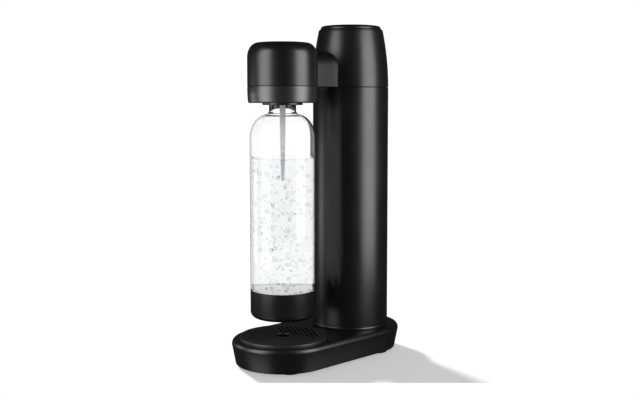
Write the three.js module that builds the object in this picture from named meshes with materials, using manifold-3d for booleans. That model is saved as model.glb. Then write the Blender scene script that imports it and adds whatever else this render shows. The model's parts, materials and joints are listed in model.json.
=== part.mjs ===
// Soda carbonator: a stadium-shaped base with a lift-out drip tray, a round tower that holds
// a gas cylinder, a press button on the tower's top, and an arm that carries a round head with
// a tilting bottle connector.
// Units are millimetres. +Z is up and z = 0 is the table.
// The bottle stands towards -Y, and the tower towards +Y.
// Standalone: node, with the npm packages three and manifold-3d.

import * as THREE from "three";
import { mergeVertices } from "three/addons/utils/BufferGeometryUtils.js";
import Module from "manifold-3d";

const wasm = await Module();
wasm.setup();

// ------------------------------------------------------------------------------------------------
// Driving dimensions
// ------------------------------------------------------------------------------------------------

// Plan
const AXIS_GAP = 121; // bottle axis to tower axis
const BOTTLE_Y = -AXIS_GAP / 2;
const TOWER_Y = AXIS_GAP / 2;

// Clearances and walls
const GAP = 0.3; // between pieces that touch
const RUNNING = 0.5; // round a piece that slides
const WALL = 2.4; // moulded walls

// Base
const BASE_R = 63.4; // end radius at the widest level
const BASE_FOOT_R = 58.6; // end radius at the underside
const BASE_WIDEST_Z = 27;
const DECK_Z = 33;
const DECK_EDGE = 4.5; // width of the rounded edge round the deck
const FOOT_STAND = 2.8; // how far the feet stand out below the base
const FOOT_R = 13;
const FRONT_FOOT = { x: 33, out: 20.5 }; // foot centre, from the end's axis
const REAR_FOOT = { x: 42, out: 6 };
const PLATE_T = 2.5;

// Drip tray
const TRAY_R = 54.4; // outside of the rim
const TRAY_BOWL_R = TRAY_R - 2.9;
const TRAY_DEPTH = 10;
const TRAY_RIM_T = 2;
const TRAY_PROUD = 3; // how far the rim stands over the deck
const TRAY_WALL = 1.6;
const GRILLE_R = TRAY_R - 5.4;
const GRILLE_T = 2.6;
const SLOT_PITCH = 5.3;
const SLOT_W = 2.6;
const SLOT_FIELD_R = GRILLE_R - 2.6;
const SLOT_DIVIDER = 1.5; // half width of the bars between the three fields
const FINGER_HOLE_R = 9.5;

// Bottle
const BOTTLE_R = 40.2;
const BOTTLE_WALL = 1.2;
const BOTTLE_LENGTH = 278.5; // with its base cup
const NECK_R = 16.5;
const NECK_LENGTH = 26.5;
const SHOULDER_H = 32;
const CUP_H = 34.5;
const CUP_WALL = 1.8;
const CUP_EDGE = 8;
const MOUTH_BELOW_SEAM = 4.5;
const BOTTLE_STAND_OFF = 26.5; // cup to deck
const FILL_BELOW_MOUTH = 81.5;

// Gas cylinder
const CYLINDER_R = 30;
const CYLINDER_LENGTH = 344; // with its valve
const CYLINDER_WALL = 2.5;
const CYLINDER_BOTTOM_Z = 22; // lowest it may stand
const CYLINDER_DROP = 12; // three turns of its thread
const VALVE_THREAD_R = 10.5;
const VALVE_ABOVE_SEAM = 23.5;

// Tower
const TOWER_R = CYLINDER_R + 19; // room for the guide tube, the frame and the wall
const COVER_H = 74; // upper cover
const COVER_TOP_R = TOWER_R - 7.7;
const BUTTON_R = COVER_TOP_R - 2.1;
const BUTTON_PROUD = 5.1;
const BUTTON_TRAVEL = 6;
const REAR_HALF_ANGLE = 55; // rear cover, in degrees
const TONGUE_HALF_ANGLE = 28;
const TONGUE_H = 24;
const LATCH_W = 22;
const LATCH_H = 9;

// Arm
const ARM_HALF_W = 19.7;
const ARM_SIDE_H = 24;
const ARM_WALL = 2.2;

// Head
const HEAD_R = NECK_R + 26.3; // room for the connector, its pivots and the hose
const BAND_H = 20;
const CAP_H = 53.3;
const CAP_EDGE_W = 13; // rounded edge of the cap, across and down
const CAP_EDGE_H = 18;
const CONNECTOR_R = NECK_R + 8;
const CONNECTOR_LIP = 2.5; // stands out below the head
const PIVOT_ABOVE_SEAM = 12;
const TILT_DEG = 20;
const NOZZLE_TOP_R = 3.6;
const NOZZLE_TIP_R = 1.4;
const NOZZLE_BELOW_MOUTH = 110;

// The tower is as tall as the taller of its two contents: the cylinder inside it, or the bottle beside it.
const cylinderStack = CYLINDER_BOTTOM_Z + CYLINDER_LENGTH - VALVE_ABOVE_SEAM;
const bottleStack = DECK_Z + BOTTLE_STAND_OFF + BOTTLE_LENGTH + MOUTH_BELOW_SEAM;
const SEAM_Z = Math.max(cylinderStack, bottleStack);

// Levels that follow
const MOUTH_Z = SEAM_Z - MOUTH_BELOW_SEAM;
const CUP_Z = MOUTH_Z - BOTTLE_LENGTH;
const HEAD_Z = SEAM_Z - BAND_H;
const PIVOT_Z = SEAM_Z + PIVOT_ABOVE_SEAM;
const CYLINDER_Z = SEAM_Z + VALVE_ABOVE_SEAM - CYLINDER_LENGTH;
const RIM_Z = SEAM_Z + COVER_H;
const FRAME_Z = SEAM_Z + 3; // underside of the bridge frame's plate
const FRAME_T = 4;
const FRAME_TOP_Z = FRAME_Z + FRAME_T;

// Facets round a full circle
const COARSE = 12;
const MEDIUM = 16;
const FINE = 24;
const SHELL = 32;

// ------------------------------------------------------------------------------------------------
// Helpers: three.js makes the shapes, manifold-3d joins and cuts them
// ------------------------------------------------------------------------------------------------

function solid(geometry) {
  const bare = geometry.index ? geometry.toNonIndexed() : geometry.clone();
  for (const name of Object.keys(bare.attributes)) {
    if (name !== "position") bare.deleteAttribute(name);
  }
  const merged = mergeVertices(bare, 1e-4);
  const vertProperties = merged.attributes.position.array;
  const triVerts = new Uint32Array(merged.index.array);
  return new wasm.Manifold(new wasm.Mesh({ numProp: 3, vertProperties, triVerts }));
}

function geometryOf(shape) {
  const mesh = shape.getMesh();
  const geometry = new THREE.BufferGeometry();
  geometry.setAttribute("position", new THREE.BufferAttribute(mesh.vertProperties, 3));
  geometry.setIndex(new THREE.BufferAttribute(mesh.triVerts, 1));
  const flat = geometry.toNonIndexed();
  flat.computeVertexNormals();
  return flat;
}

// A solid turned about a vertical axis at (0, y), from a profile of [radius, z] points or a THREE.Path.
// A path's round stretches take the given number of steps.
function turned(profile, segments, y = 0, steps = 4) {
  const isList = Array.isArray(profile);
  let points = isList ? profile.map(([r, z]) => new THREE.Vector2(r, z)) : profile.getPoints(steps);
  points = points.filter((p, i) => i === 0 || p.distanceTo(points[i - 1]) > 1e-6);
  if (points[0].x > 1e-6 && points[0].distanceTo(points.at(-1)) > 1e-6) points.push(points[0].clone());
  if (THREE.ShapeUtils.area(points) < 0) points.reverse();
  const lathe = new THREE.LatheGeometry(points, segments);
  lathe.rotateX(Math.PI / 2);
  return solid(lathe.translate(0, y, 0));
}

function disc(r, z0, z1, segments, x = 0, y = 0) {
  const cylinder = new THREE.CylinderGeometry(r, r, z1 - z0, segments);
  cylinder.rotateX(Math.PI / 2);
  return solid(cylinder.translate(x, y, (z0 + z1) / 2));
}

function ring(rIn, rOut, z0, z1, segments, x = 0, y = 0) {
  return disc(rOut, z0, z1, segments, x, y).subtract(disc(rIn, z0 - 1, z1 + 1, segments, x, y));
}

function block(x0, x1, y0, y1, z0, z1) {
  const box = new THREE.BoxGeometry(x1 - x0, y1 - y0, z1 - z0);
  return solid(box.translate((x0 + x1) / 2, (y0 + y1) / 2, (z0 + z1) / 2));
}

// A cylinder along X or Y.
function barAlong(axis, r, from, to, u, z, segments) {
  const bar = new THREE.CylinderGeometry(r, r, to - from, segments);
  const middle = (from + to) / 2;
  if (axis === "x") return solid(bar.rotateZ(-Math.PI / 2).translate(middle, u, z));
  return solid(bar.translate(u, middle, z));
}

function extruded(shape, z0, z1, curveSegments) {
  const geometry = new THREE.ExtrudeGeometry(shape, { depth: z1 - z0, bevelEnabled: false, curveSegments });
  return solid(geometry.translate(0, 0, z0));
}

// A pie slice about a vertical axis at (0, y), centred on the +Y direction.
function wedge(halfAngleDeg, r, z0, z1, y) {
  const half = THREE.MathUtils.degToRad(halfAngleDeg);
  const shape = new THREE.Shape();
  shape.moveTo(0, 0);
  shape.lineTo(r * Math.sin(half), r * Math.cos(half));
  shape.absarc(0, 0, r, Math.PI / 2 - half, Math.PI / 2 + half, false);
  shape.closePath();
  return extruded(shape, z0, z1, MEDIUM).translate(0, y, 0);
}

// A lofted stadium whose ends are centred on the two axes: levels are [end radius, z], from the bottom up.
function stadium(levels, segments = SHELL) {
  const half = segments / 2;
  const outline = [];
  for (const [centre, start] of [[TOWER_Y, 0], [BOTTLE_Y, Math.PI]]) {
    for (let i = 0; i <= half; i++) outline.push([start + (Math.PI * i) / half, centre]);
  }
  const count = outline.length;
  const positions = [];
  for (const [r, z] of levels) {
    for (const [angle, centre] of outline) {
      positions.push(r * Math.cos(angle), centre + r * Math.sin(angle), z);
    }
  }
  const index = [];
  for (let level = 0; level < levels.length - 1; level++) {
    for (let i = 0; i < count; i++) {
      const a = level * count + i;
      const b = level * count + ((i + 1) % count);
      index.push(a, b, b + count, a, b + count, a + count);
    }
  }
  const top = (levels.length - 1) * count;
  for (let i = 1; i < count - 1; i++) index.push(0, i + 1, i, top, top + i, top + i + 1);
  const geometry = new THREE.BufferGeometry();
  geometry.setAttribute("position", new THREE.Float32BufferAttribute(positions, 3));
  geometry.setIndex(index);
  return solid(geometry);
}

// The room a round piece needs at one level when it swings towards -Y: a slot with round ends.
function swingSlot(r, reach, z0, z1, y) {
  const ends = disc(r, z0, z1, FINE, 0, y).add(disc(r, z0, z1, FINE, 0, y - reach));
  return ends.add(block(-r, r, y - reach, y, z0, z1));
}

// A round bar along a curve.
function bentBar(curve, r, sides, steps) {
  const section = new THREE.Shape();
  for (let i = 0; i < sides; i++) {
    const angle = (2 * Math.PI * i) / sides;
    section[i ? "lineTo" : "moveTo"](r * Math.cos(angle), r * Math.sin(angle));
  }
  section.closePath();
  const options = { steps, extrudePath: curve, bevelEnabled: false };
  return solid(new THREE.ExtrudeGeometry(section, options));
}

class Helix extends THREE.Curve {
  constructor(r, z0, z1, turns) {
    super();
    Object.assign(this, { r, z0, z1, turns });
  }
  getPoint(t, target = new THREE.Vector3()) {
    const angle = 2 * Math.PI * this.turns * t;
    return target.set(this.r * Math.cos(angle), this.r * Math.sin(angle), this.z0 + (this.z1 - this.z0) * t);
  }
}

// A coil spring whose wire fills the height from z0 to z1.
function spring(r, wire, z0, z1, turns, y) {
  const stepsPerTurn = 10;
  const helix = new Helix(r, z0 + wire, z1 - wire, turns);
  return bentBar(helix, wire, 5, turns * stepsPerTurn).translate(0, y, 0);
}

// A pan-head screw that points up, its head at the bottom.
function screw(x, y, headZ, length, r = 1.6) {
  const headT = 1.8;
  const head = disc(r * 1.9, headZ, headZ + headT, COARSE, x, y);
  return head.add(disc(r, headZ + headT - 0.2, headZ + length, COARSE, x, y));
}

// ------------------------------------------------------------------------------------------------
// Materials
// ------------------------------------------------------------------------------------------------

function material(color, roughness, metalness, extra = {}) {
  return new THREE.MeshStandardMaterial({ color, roughness, metalness, ...extra });
}

const blackShell = material(0x1b1b1c, 0.42, 0);
const blackTrim = material(0x2a2a2c, 0.35, 0.3);
const blackTray = material(0x161617, 0.55, 0);
const innerPlastic = material(0x3a3c3f, 0.6, 0);
const palePlastic = material(0xc9ccd0, 0.45, 0);
const rubber = material(0x101010, 0.9, 0);
const sealRubber = material(0x6b1f1a, 0.7, 0);
const clearPlastic = material(0xeef4f6, 0.05, 0, { transparent: true, opacity: 0.3 });
const waterBody = material(0xdfeaf0, 0.02, 0, { transparent: true, opacity: 0.4 });
const steel = material(0xb8babd, 0.3, 1);
const cylinderPaint = material(0x8d9499, 0.4, 0.6);
const brass = material(0xb5924c, 0.35, 1);
const hose = material(0x2d3238, 0.5, 0);

const carbonator = new THREE.Group();

function place(name, shape, finish) {
  const mesh = new THREE.Mesh(geometryOf(shape), finish);
  mesh.name = name;
  carbonator.add(mesh);
}

// ------------------------------------------------------------------------------------------------
// Base
// ------------------------------------------------------------------------------------------------

const cupWell = { r: CYLINDER_R + 1.5, wall: 2.5 }; // seat for the gas cylinder's foot
const cupOuterR = cupWell.r + cupWell.wall;
const plateZ = FOOT_STAND;
const plateR = BASE_FOOT_R - WALL - GAP - 0.6;
const footPlaces = [
  { name: "front_right", x: FRONT_FOOT.x, y: BOTTLE_Y - FRONT_FOOT.out },
  { name: "front_left", x: -FRONT_FOOT.x, y: BOTTLE_Y - FRONT_FOOT.out },
  { name: "rear_right", x: REAR_FOOT.x, y: TOWER_Y + REAR_FOOT.out },
  { name: "rear_left", x: -REAR_FOOT.x, y: TOWER_Y + REAR_FOOT.out },
];
const BASE_SCREW = { x: 38, y: AXIS_GAP / 2 - 26 };
const screwPlaces = [-1, 1].flatMap((sx) =>
  [-1, 1].map((sy) => ({ x: sx * BASE_SCREW.x, y: sy * BASE_SCREW.y })),
);

// The base's side at a level, between its underside and its widest level.
function sideR(z) {
  const t = (z - FOOT_STAND) / (BASE_WIDEST_Z - FOOT_STAND);
  return BASE_FOOT_R + (BASE_R - BASE_FOOT_R) * t;
}

function baseShell() {
  const bottomEdge = 1.2;
  const outer = [
    [BASE_FOOT_R - bottomEdge, FOOT_STAND],
    [sideR(FOOT_STAND + bottomEdge), FOOT_STAND + bottomEdge],
    [BASE_R, BASE_WIDEST_Z],
  ];
  const edgeSteps = 4;
  for (let i = 1; i <= edgeSteps; i++) {
    const angle = (Math.PI / 2) * (i / edgeSteps);
    const r = BASE_R - DECK_EDGE * (1 - Math.cos(angle));
    outer.push([r, BASE_WIDEST_Z + (DECK_Z - BASE_WIDEST_Z) * Math.sin(angle)]);
  }
  const inner = [
    [BASE_FOOT_R - WALL - 0.6, FOOT_STAND - 1],
    [BASE_FOOT_R - WALL - 0.6, FOOT_STAND + PLATE_T + 2],
    [BASE_R - WALL - 0.6, BASE_WIDEST_Z - 1],
    [BASE_R - WALL - DECK_EDGE, DECK_Z - WALL],
  ];
  const rimSeat = disc(TRAY_R + GAP, DECK_Z - TRAY_RIM_T, DECK_Z + 1, SHELL, 0, BOTTLE_Y);
  const trayWell = disc(TRAY_BOWL_R + RUNNING, DECK_Z - 2 * WALL, DECK_Z, SHELL, 0, BOTTLE_Y);
  const cylinderWell = disc(cupOuterR + GAP, DECK_Z - 2 * WALL, DECK_Z + 1, SHELL, 0, TOWER_Y);
  let shell = stadium(outer).subtract(stadium(inner));
  shell = shell.subtract(rimSeat).subtract(trayWell).subtract(cylinderWell);
  // A ledge under the tray's rim, and a boss over each screw.
  const ledgeZ = DECK_Z - TRAY_RIM_T;
  const ledge = ring(TRAY_BOWL_R + RUNNING, TRAY_R + WALL, ledgeZ - WALL, ledgeZ, SHELL, 0, BOTTLE_Y);
  shell = shell.add(ledge);
  for (const { x, y } of screwPlaces) {
    const bossZ = plateZ + PLATE_T + GAP;
    const boss = ring(1.9, 4, bossZ, DECK_Z - 1, COARSE, x, y);
    shell = shell.add(boss.subtract(disc(TRAY_R + GAP, 0, DECK_Z + 1, SHELL, 0, BOTTLE_Y)));
    shell = shell.subtract(disc(1.9, bossZ - 1, DECK_Z - WALL - 2, COARSE, x, y));
  }
  return shell;
}

function basePlate() {
  let plate = stadium([[plateR, plateZ], [plateR, plateZ + PLATE_T]]);
  for (const { x, y } of screwPlaces) {
    plate = plate.subtract(disc(1.9, plateZ - 1, plateZ + PLATE_T + 1, COARSE, x, y));
    plate = plate.subtract(disc(3.4, plateZ - 1, plateZ + 1.3, COARSE, x, y));
  }
  for (const { x, y } of footPlaces) {
    plate = plate.subtract(disc(FOOT_R - 4 + GAP, plateZ - 1, plateZ + PLATE_T + 1, FINE, x, y));
  }
  return plate;
}

// A rubber foot with a stem that plugs into the base plate.
function foot({ x, y }) {
  const pad = disc(FOOT_R, 0, plateZ - GAP, FINE, x, y);
  return pad.add(disc(FOOT_R - 4, plateZ - GAP - 0.1, plateZ + PLATE_T, FINE, x, y));
}

function cylinderCup() {
  const floorTop = CYLINDER_Z - CYLINDER_DROP - 1.6;
  const floorBottom = plateZ + PLATE_T + GAP;
  const cup = disc(cupOuterR, floorBottom, DECK_Z + 4, FINE, 0, TOWER_Y);
  return cup.subtract(disc(cupWell.r, floorTop, DECK_Z + 5, FINE, 0, TOWER_Y));
}

place("base_shell", baseShell(), blackShell);
place("base_plate", basePlate(), innerPlastic);
for (const spot of footPlaces) place(`foot_${spot.name}`, foot(spot), rubber);
screwPlaces.forEach(({ x, y }, i) => place(`base_screw_${i + 1}`, screw(x, y, plateZ - 0.8, 12), steel));
place("cylinder_cup", cylinderCup(), innerPlastic);

// ------------------------------------------------------------------------------------------------
// Drip tray and grille
// ------------------------------------------------------------------------------------------------

const trayRimZ = DECK_Z - TRAY_RIM_T + GAP;
const trayTopZ = trayRimZ + TRAY_RIM_T + TRAY_PROUD;
const trayFloorZ = trayTopZ - TRAY_PROUD - TRAY_DEPTH;
const grilleZ = trayTopZ - GRILLE_T;

function dripTray() {
  const seatZ = grilleZ - GAP;
  return turned(
    [
      [0, trayFloorZ],
      [TRAY_BOWL_R - 2, trayFloorZ],
      [TRAY_BOWL_R, trayFloorZ + 2],
      [TRAY_BOWL_R, trayRimZ],
      [TRAY_R, trayRimZ],
      [TRAY_R, trayTopZ - 0.5],
      [TRAY_R - 0.5, trayTopZ],
      [GRILLE_R + GAP, trayTopZ],
      [GRILLE_R + GAP, seatZ],
      [TRAY_BOWL_R - TRAY_WALL - 3, seatZ],
      [TRAY_BOWL_R - TRAY_WALL - 3, trayFloorZ + TRAY_WALL],
      [0, trayFloorZ + TRAY_WALL],
    ],
    SHELL,
    BOTTLE_Y,
  );
}

// Three fields of parallel slots. Each field is the third of the disc that ends at the given turn,
// and its slots run along that end.
function slotField(turnDeg) {
  const margin = SLOT_DIVIDER;
  const field = new THREE.Shape();
  field.moveTo(0, 0);
  field.lineTo(SLOT_FIELD_R, 0);
  field.absarc(0, 0, SLOT_FIELD_R, 0, (2 * Math.PI) / 3, false);
  field.closePath();
  let slots = extruded(field, grilleZ - 1, trayTopZ + 1, MEDIUM);
  let bars = block(-200, 200, -margin * 2, margin, grilleZ - 2, trayTopZ + 2);
  for (let i = 0; i * SLOT_PITCH < SLOT_FIELD_R; i++) {
    const low = margin + i * SLOT_PITCH + SLOT_W;
    bars = bars.add(block(-200, 200, low, low + SLOT_PITCH - SLOT_W, grilleZ - 2, trayTopZ + 2));
  }
  // The far edge's own bar, at 120 degrees to the slots.
  const edge = block(-200, 200, -margin, margin, grilleZ - 2, trayTopZ + 2).rotate([0, 0, 120]);
  const hub = disc(FINGER_HOLE_R + 2, grilleZ - 2, trayTopZ + 2, FINE);
  return slots.subtract(bars).subtract(edge).subtract(hub).mirror([0, 1, 0]).rotate([0, 0, turnDeg]);
}

function dripGrille() {
  let grille = disc(GRILLE_R, grilleZ, trayTopZ, SHELL);
  for (const turn of [150, 270, 30]) grille = grille.subtract(slotField(turn));
  grille = grille.subtract(disc(FINGER_HOLE_R, grilleZ - 1, trayTopZ + 1, FINE));
  return grille.translate(0, BOTTLE_Y, 0);
}

place("drip_tray", dripTray(), blackTray);
place("drip_grille", dripGrille(), blackTray);

// ------------------------------------------------------------------------------------------------
// Tower: shell, rear cover, upper cover, inner frame
// ------------------------------------------------------------------------------------------------

// The upper cover bows in towards its rim: its outside radius at a height above the seam.
function coverR(height) {
  return TOWER_R - (TOWER_R - COVER_TOP_R) * (height / COVER_H) ** 2;
}

function coverSkin(inset, z0, z1, steps) {
  const points = [[0, z0]];
  for (let i = 0; i <= steps; i++) {
    const z = z0 + ((z1 - z0) * i) / steps;
    points.push([coverR(Math.max(0, z - SEAM_Z)) - inset, z]);
  }
  points.push([0, z1]);
  return turned(points, SHELL, TOWER_Y);
}

// Where the arm passes through a cover: the arm's outline, let out by a clearance.
function armOutline(out) {
  const shape = new THREE.Shape();
  const w = ARM_HALF_W + out;
  shape.moveTo(-w, -out);
  shape.lineTo(w, -out);
  shape.lineTo(w, ARM_SIDE_H);
  shape.absarc(0, ARM_SIDE_H, w, 0, Math.PI, false);
  shape.closePath();
  return shape;
}

function armBody(out, y0, y1) {
  const options = { depth: y1 - y0, bevelEnabled: false, curveSegments: COARSE };
  const geometry = new THREE.ExtrudeGeometry(armOutline(out), options);
  geometry.rotateX(Math.PI / 2);
  return solid(geometry.translate(0, y1, SEAM_Z + GAP));
}

const towerBottomZ = DECK_Z + GAP;
const rearTopZ = SEAM_Z - GAP;
const tongueTopZ = SEAM_Z + TONGUE_H;
const latchZ = tongueTopZ - 5 - LATCH_H;

function towerShell() {
  const flare = 1.6;
  const outer = [
    [0, towerBottomZ],
    [TOWER_R + flare, towerBottomZ],
    [TOWER_R + flare * 0.3, towerBottomZ + flare * 0.6],
    [TOWER_R, towerBottomZ + flare * 1.6],
    [TOWER_R, SEAM_Z - 0.6],
    [TOWER_R - 0.6, SEAM_Z],
    [0, SEAM_Z],
  ];
  const bore = disc(TOWER_R - WALL, towerBottomZ - 1, SEAM_Z + 1, SHELL, 0, TOWER_Y);
  const rear = wedge(REAR_HALF_ANGLE, TOWER_R * 2, towerBottomZ - 1, SEAM_Z + 1, TOWER_Y);
  return turned(outer, SHELL, TOWER_Y).subtract(bore).subtract(rear);
}

function latchHole(out, depth) {
  const halfW = LATCH_W / 2 + out;
  const topZ = latchZ + LATCH_H + out;
  return block(-halfW, halfW, TOWER_Y, TOWER_Y + depth, latchZ - out, topZ);
}

function rearCover() {
  const slack = THREE.MathUtils.radToDeg(RUNNING / TOWER_R);
  const main = ring(TOWER_R - WALL, TOWER_R, towerBottomZ + GAP, rearTopZ, SHELL, 0, TOWER_Y);
  const panel = main.intersect(wedge(REAR_HALF_ANGLE - slack, TOWER_R * 2, 0, SEAM_Z * 2, TOWER_Y));
  const skin = coverSkin(0, SEAM_Z - 8, tongueTopZ, 4);
  const tongueShell = skin.subtract(coverSkin(WALL, SEAM_Z - 9, tongueTopZ + 1, 4));
  const tongueWedge = wedge(TONGUE_HALF_ANGLE - slack, TOWER_R * 2, 0, SEAM_Z * 2, TOWER_Y);
  const tongue = tongueShell.intersect(tongueWedge);
  return panel.add(tongue).subtract(latchHole(GAP, TOWER_R * 2));
}

// The thumb catch, with a flange behind the cover's wall.
function coverLatch() {
  const skin = coverSkin(-0.6, latchZ - 2, latchZ + LATCH_H + 2, 2);
  const face = skin.subtract(coverSkin(WALL + 2, latchZ - 3, latchZ + LATCH_H + 3, 2));
  return face.intersect(latchHole(0, TOWER_R * 2));
}

function upperCover() {
  const rimEdge = 1.2;
  const steps = 6;
  const points = [[0, SEAM_Z + GAP]];
  for (let i = 0; i <= steps; i++) {
    const height = GAP + ((COVER_H - rimEdge - GAP) * i) / steps;
    points.push([coverR(height), SEAM_Z + height]);
  }
  points.push([coverR(COVER_H) - rimEdge, RIM_Z], [0, RIM_Z]);
  const boreR = BUTTON_R + RUNNING;
  const mouthDepth = 16;
  let cover = turned(points, SHELL, TOWER_Y);
  cover = cover.subtract(coverSkin(WALL, SEAM_Z - 1, RIM_Z - mouthDepth, 4));
  cover = cover.subtract(disc(boreR, RIM_Z - mouthDepth - 1, RIM_Z + 1, SHELL, 0, TOWER_Y));
  cover = cover.subtract(armBody(GAP, 0, TOWER_Y));
  return cover.subtract(wedge(TONGUE_HALF_ANGLE, TOWER_R * 2, SEAM_Z - 1, tongueTopZ + GAP, TOWER_Y));
}

const frameTubeR = CYLINDER_R + 2.5;

// Half a tube that stands on the deck, guides the cylinder and carries the bridge frame.
function towerFrame() {
  const tube = ring(frameTubeR, frameTubeR + WALL, DECK_Z + 4 + GAP, FRAME_Z - GAP, FINE, 0, TOWER_Y);
  const back = block(-TOWER_R, TOWER_R, TOWER_Y + 6, TOWER_Y + TOWER_R, 0, SEAM_Z + TOWER_R);
  return tube.subtract(back);
}

place("tower_shell", towerShell(), blackShell);
place("rear_cover", rearCover(), blackShell);
place("cover_latch", coverLatch(), blackTrim);
place("upper_cover", upperCover(), blackShell);
place("tower_frame", towerFrame(), innerPlastic);

// ------------------------------------------------------------------------------------------------
// Bridge frame and arm: they carry the head from the tower
// ------------------------------------------------------------------------------------------------

const beamHalfW = ARM_HALF_W - ARM_WALL - 2.5;
const tilt = THREE.MathUtils.degToRad(TILT_DEG);
const connectorHoleR = CONNECTOR_R + 2.8;
const trunnionR = 3;
const earX = connectorHoleR + 0.6;
const earT = 3.6;
const legPlaces = [-1, 1].flatMap((sx) => [-1, 1].map((sy) => ({ x: sx * 32, y: TOWER_Y + sy * 16 })));
const headScrewX = HEAD_R - WALL - 8;
const headScrewY = BOTTLE_Y + 12;
const blockScrewX = 21;

function bridgeFrame() {
  const towerDisc = disc(TOWER_R - WALL - 3, FRAME_Z, FRAME_TOP_Z, SHELL, 0, TOWER_Y);
  const headDisc = disc(HEAD_R - WALL - 1.5, FRAME_Z, FRAME_TOP_Z, SHELL, 0, BOTTLE_Y);
  const beam = block(-beamHalfW, beamHalfW, BOTTLE_Y, TOWER_Y, FRAME_Z, FRAME_TOP_Z);
  let frame = towerDisc.add(headDisc).add(beam);
  const ribTop = FRAME_TOP_Z + 6;
  for (const sx of [-1, 1]) {
    const ribX = Math.min(sx * beamHalfW, sx * (beamHalfW - WALL));
    const ribY0 = BOTTLE_Y + HEAD_R - 6;
    const ribY1 = TOWER_Y - TOWER_R + 14;
    frame = frame.add(block(ribX, ribX + WALL, ribY0, ribY1, FRAME_Z, ribTop));
    const ear0 = Math.min(sx * earX, sx * (earX + earT));
    const ear = block(ear0, ear0 + earT, BOTTLE_Y - 7, BOTTLE_Y + 7, FRAME_Z, PIVOT_Z);
    frame = frame.add(ear).add(barAlong("x", 7, ear0, ear0 + earT, BOTTLE_Y, PIVOT_Z, MEDIUM));
  }
  // Wells for the arm's walls, the valve, the connector, the screws and the guide's legs.
  for (const [centre, r, side] of [[TOWER_Y, TOWER_R, -1], [BOTTLE_Y, HEAD_R, 1]]) {
    const edge = centre + side * (r - WALL - 8);
    for (const sx of [-1, 1]) {
      const x0 = Math.min(sx * (beamHalfW + 0.01), sx * (ARM_HALF_W + 1));
      const y0 = Math.min(edge, centre + side * r);
      const x1 = x0 + ARM_HALF_W + 1 - beamHalfW;
      frame = frame.subtract(block(x0, x1, y0, y0 + WALL + 8, FRAME_Z - 1, FRAME_TOP_Z + 1));
    }
  }
  const slotHalf = VALVE_THREAD_R + 4;
  frame = frame.subtract(disc(slotHalf, FRAME_Z - 1, FRAME_TOP_Z + 1, FINE, 0, TOWER_Y));
  const slotEndY = TOWER_Y + TOWER_R;
  frame = frame.subtract(block(-slotHalf, slotHalf, TOWER_Y, slotEndY, FRAME_Z - 1, FRAME_TOP_Z + 1));
  const reach = (PIVOT_Z - FRAME_Z) * Math.tan(tilt);
  frame = frame.subtract(swingSlot(connectorHoleR, reach, FRAME_Z - 1, FRAME_TOP_Z + 1, BOTTLE_Y));
  frame = frame.subtract(barAlong("x", trunnionR + GAP, -HEAD_R, HEAD_R, BOTTLE_Y, PIVOT_Z, MEDIUM));
  for (const sx of [-1, 1]) {
    frame = frame.subtract(disc(1.9, FRAME_Z - 1, FRAME_TOP_Z + 1, COARSE, sx * headScrewX, headScrewY));
    frame = frame.subtract(disc(1.9, FRAME_Z - 1, FRAME_TOP_Z + 1, COARSE, sx * blockScrewX, TOWER_Y));
  }
  return frame;
}

const armInto = 9; // how far the arm reaches inside each cover
const armY0 = BOTTLE_Y + HEAD_R - armInto;
const armY1 = TOWER_Y - TOWER_R + armInto;

function armShell() {
  const hollowShape = new THREE.Shape();
  const w = ARM_HALF_W - ARM_WALL;
  hollowShape.moveTo(-w, ARM_WALL);
  hollowShape.lineTo(w, ARM_WALL);
  hollowShape.lineTo(w, ARM_SIDE_H);
  hollowShape.absarc(0, ARM_SIDE_H, w, 0, Math.PI, false);
  hollowShape.closePath();
  const options = { depth: armY1 - armY0 + 2, bevelEnabled: false, curveSegments: COARSE };
  const hollow = new THREE.ExtrudeGeometry(hollowShape, options).rotateX(Math.PI / 2);
  return armBody(0, armY0, armY1).subtract(solid(hollow.translate(0, armY1 + 1, SEAM_Z + GAP)));
}

place("bridge_frame", bridgeFrame(), innerPlastic);
place("arm_shell", armShell(), blackShell);

// ------------------------------------------------------------------------------------------------
// Button and the linkage that opens the gas valve
// ------------------------------------------------------------------------------------------------

const buttonTopZ = RIM_Z + BUTTON_PROUD;
const buttonSkirtZ = RIM_Z - 8;
const buttonTopT = 3;
const leverPivotY = TOWER_Y + 14;
const leverZ = SEAM_Z + 43;
const leverHalfT = 3;
const plungerY = TOWER_Y - 22;
const guideZ = SEAM_Z + 54;
const guideT = 2.5;
const plungerR = 4;

function carbonationButton() {
  const edge = 4;
  const path = new THREE.Path();
  path.moveTo(0, buttonTopZ);
  path.lineTo(BUTTON_R - edge, buttonTopZ - 0.4);
  path.absellipse(BUTTON_R - edge, buttonTopZ - 0.4 - edge, edge, edge, Math.PI / 2, 0, true, 0);
  path.lineTo(BUTTON_R, buttonSkirtZ);
  path.lineTo(BUTTON_R - WALL, buttonSkirtZ);
  path.lineTo(BUTTON_R - WALL, buttonTopZ - buttonTopT - 2);
  path.lineTo(BUTTON_R - WALL - 2, buttonTopZ - buttonTopT);
  path.lineTo(0, buttonTopZ - buttonTopT);
  return turned(path, SHELL, TOWER_Y, 2);
}

function buttonPlunger() {
  const topZ = buttonTopZ - buttonTopT - GAP;
  const tipZ = leverZ + leverHalfT + GAP;
  const profile = [[0, topZ], [plungerR, topZ], [plungerR, tipZ + 3], [1, tipZ], [0, tipZ]];
  return turned(profile, COARSE, plungerY);
}

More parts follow.
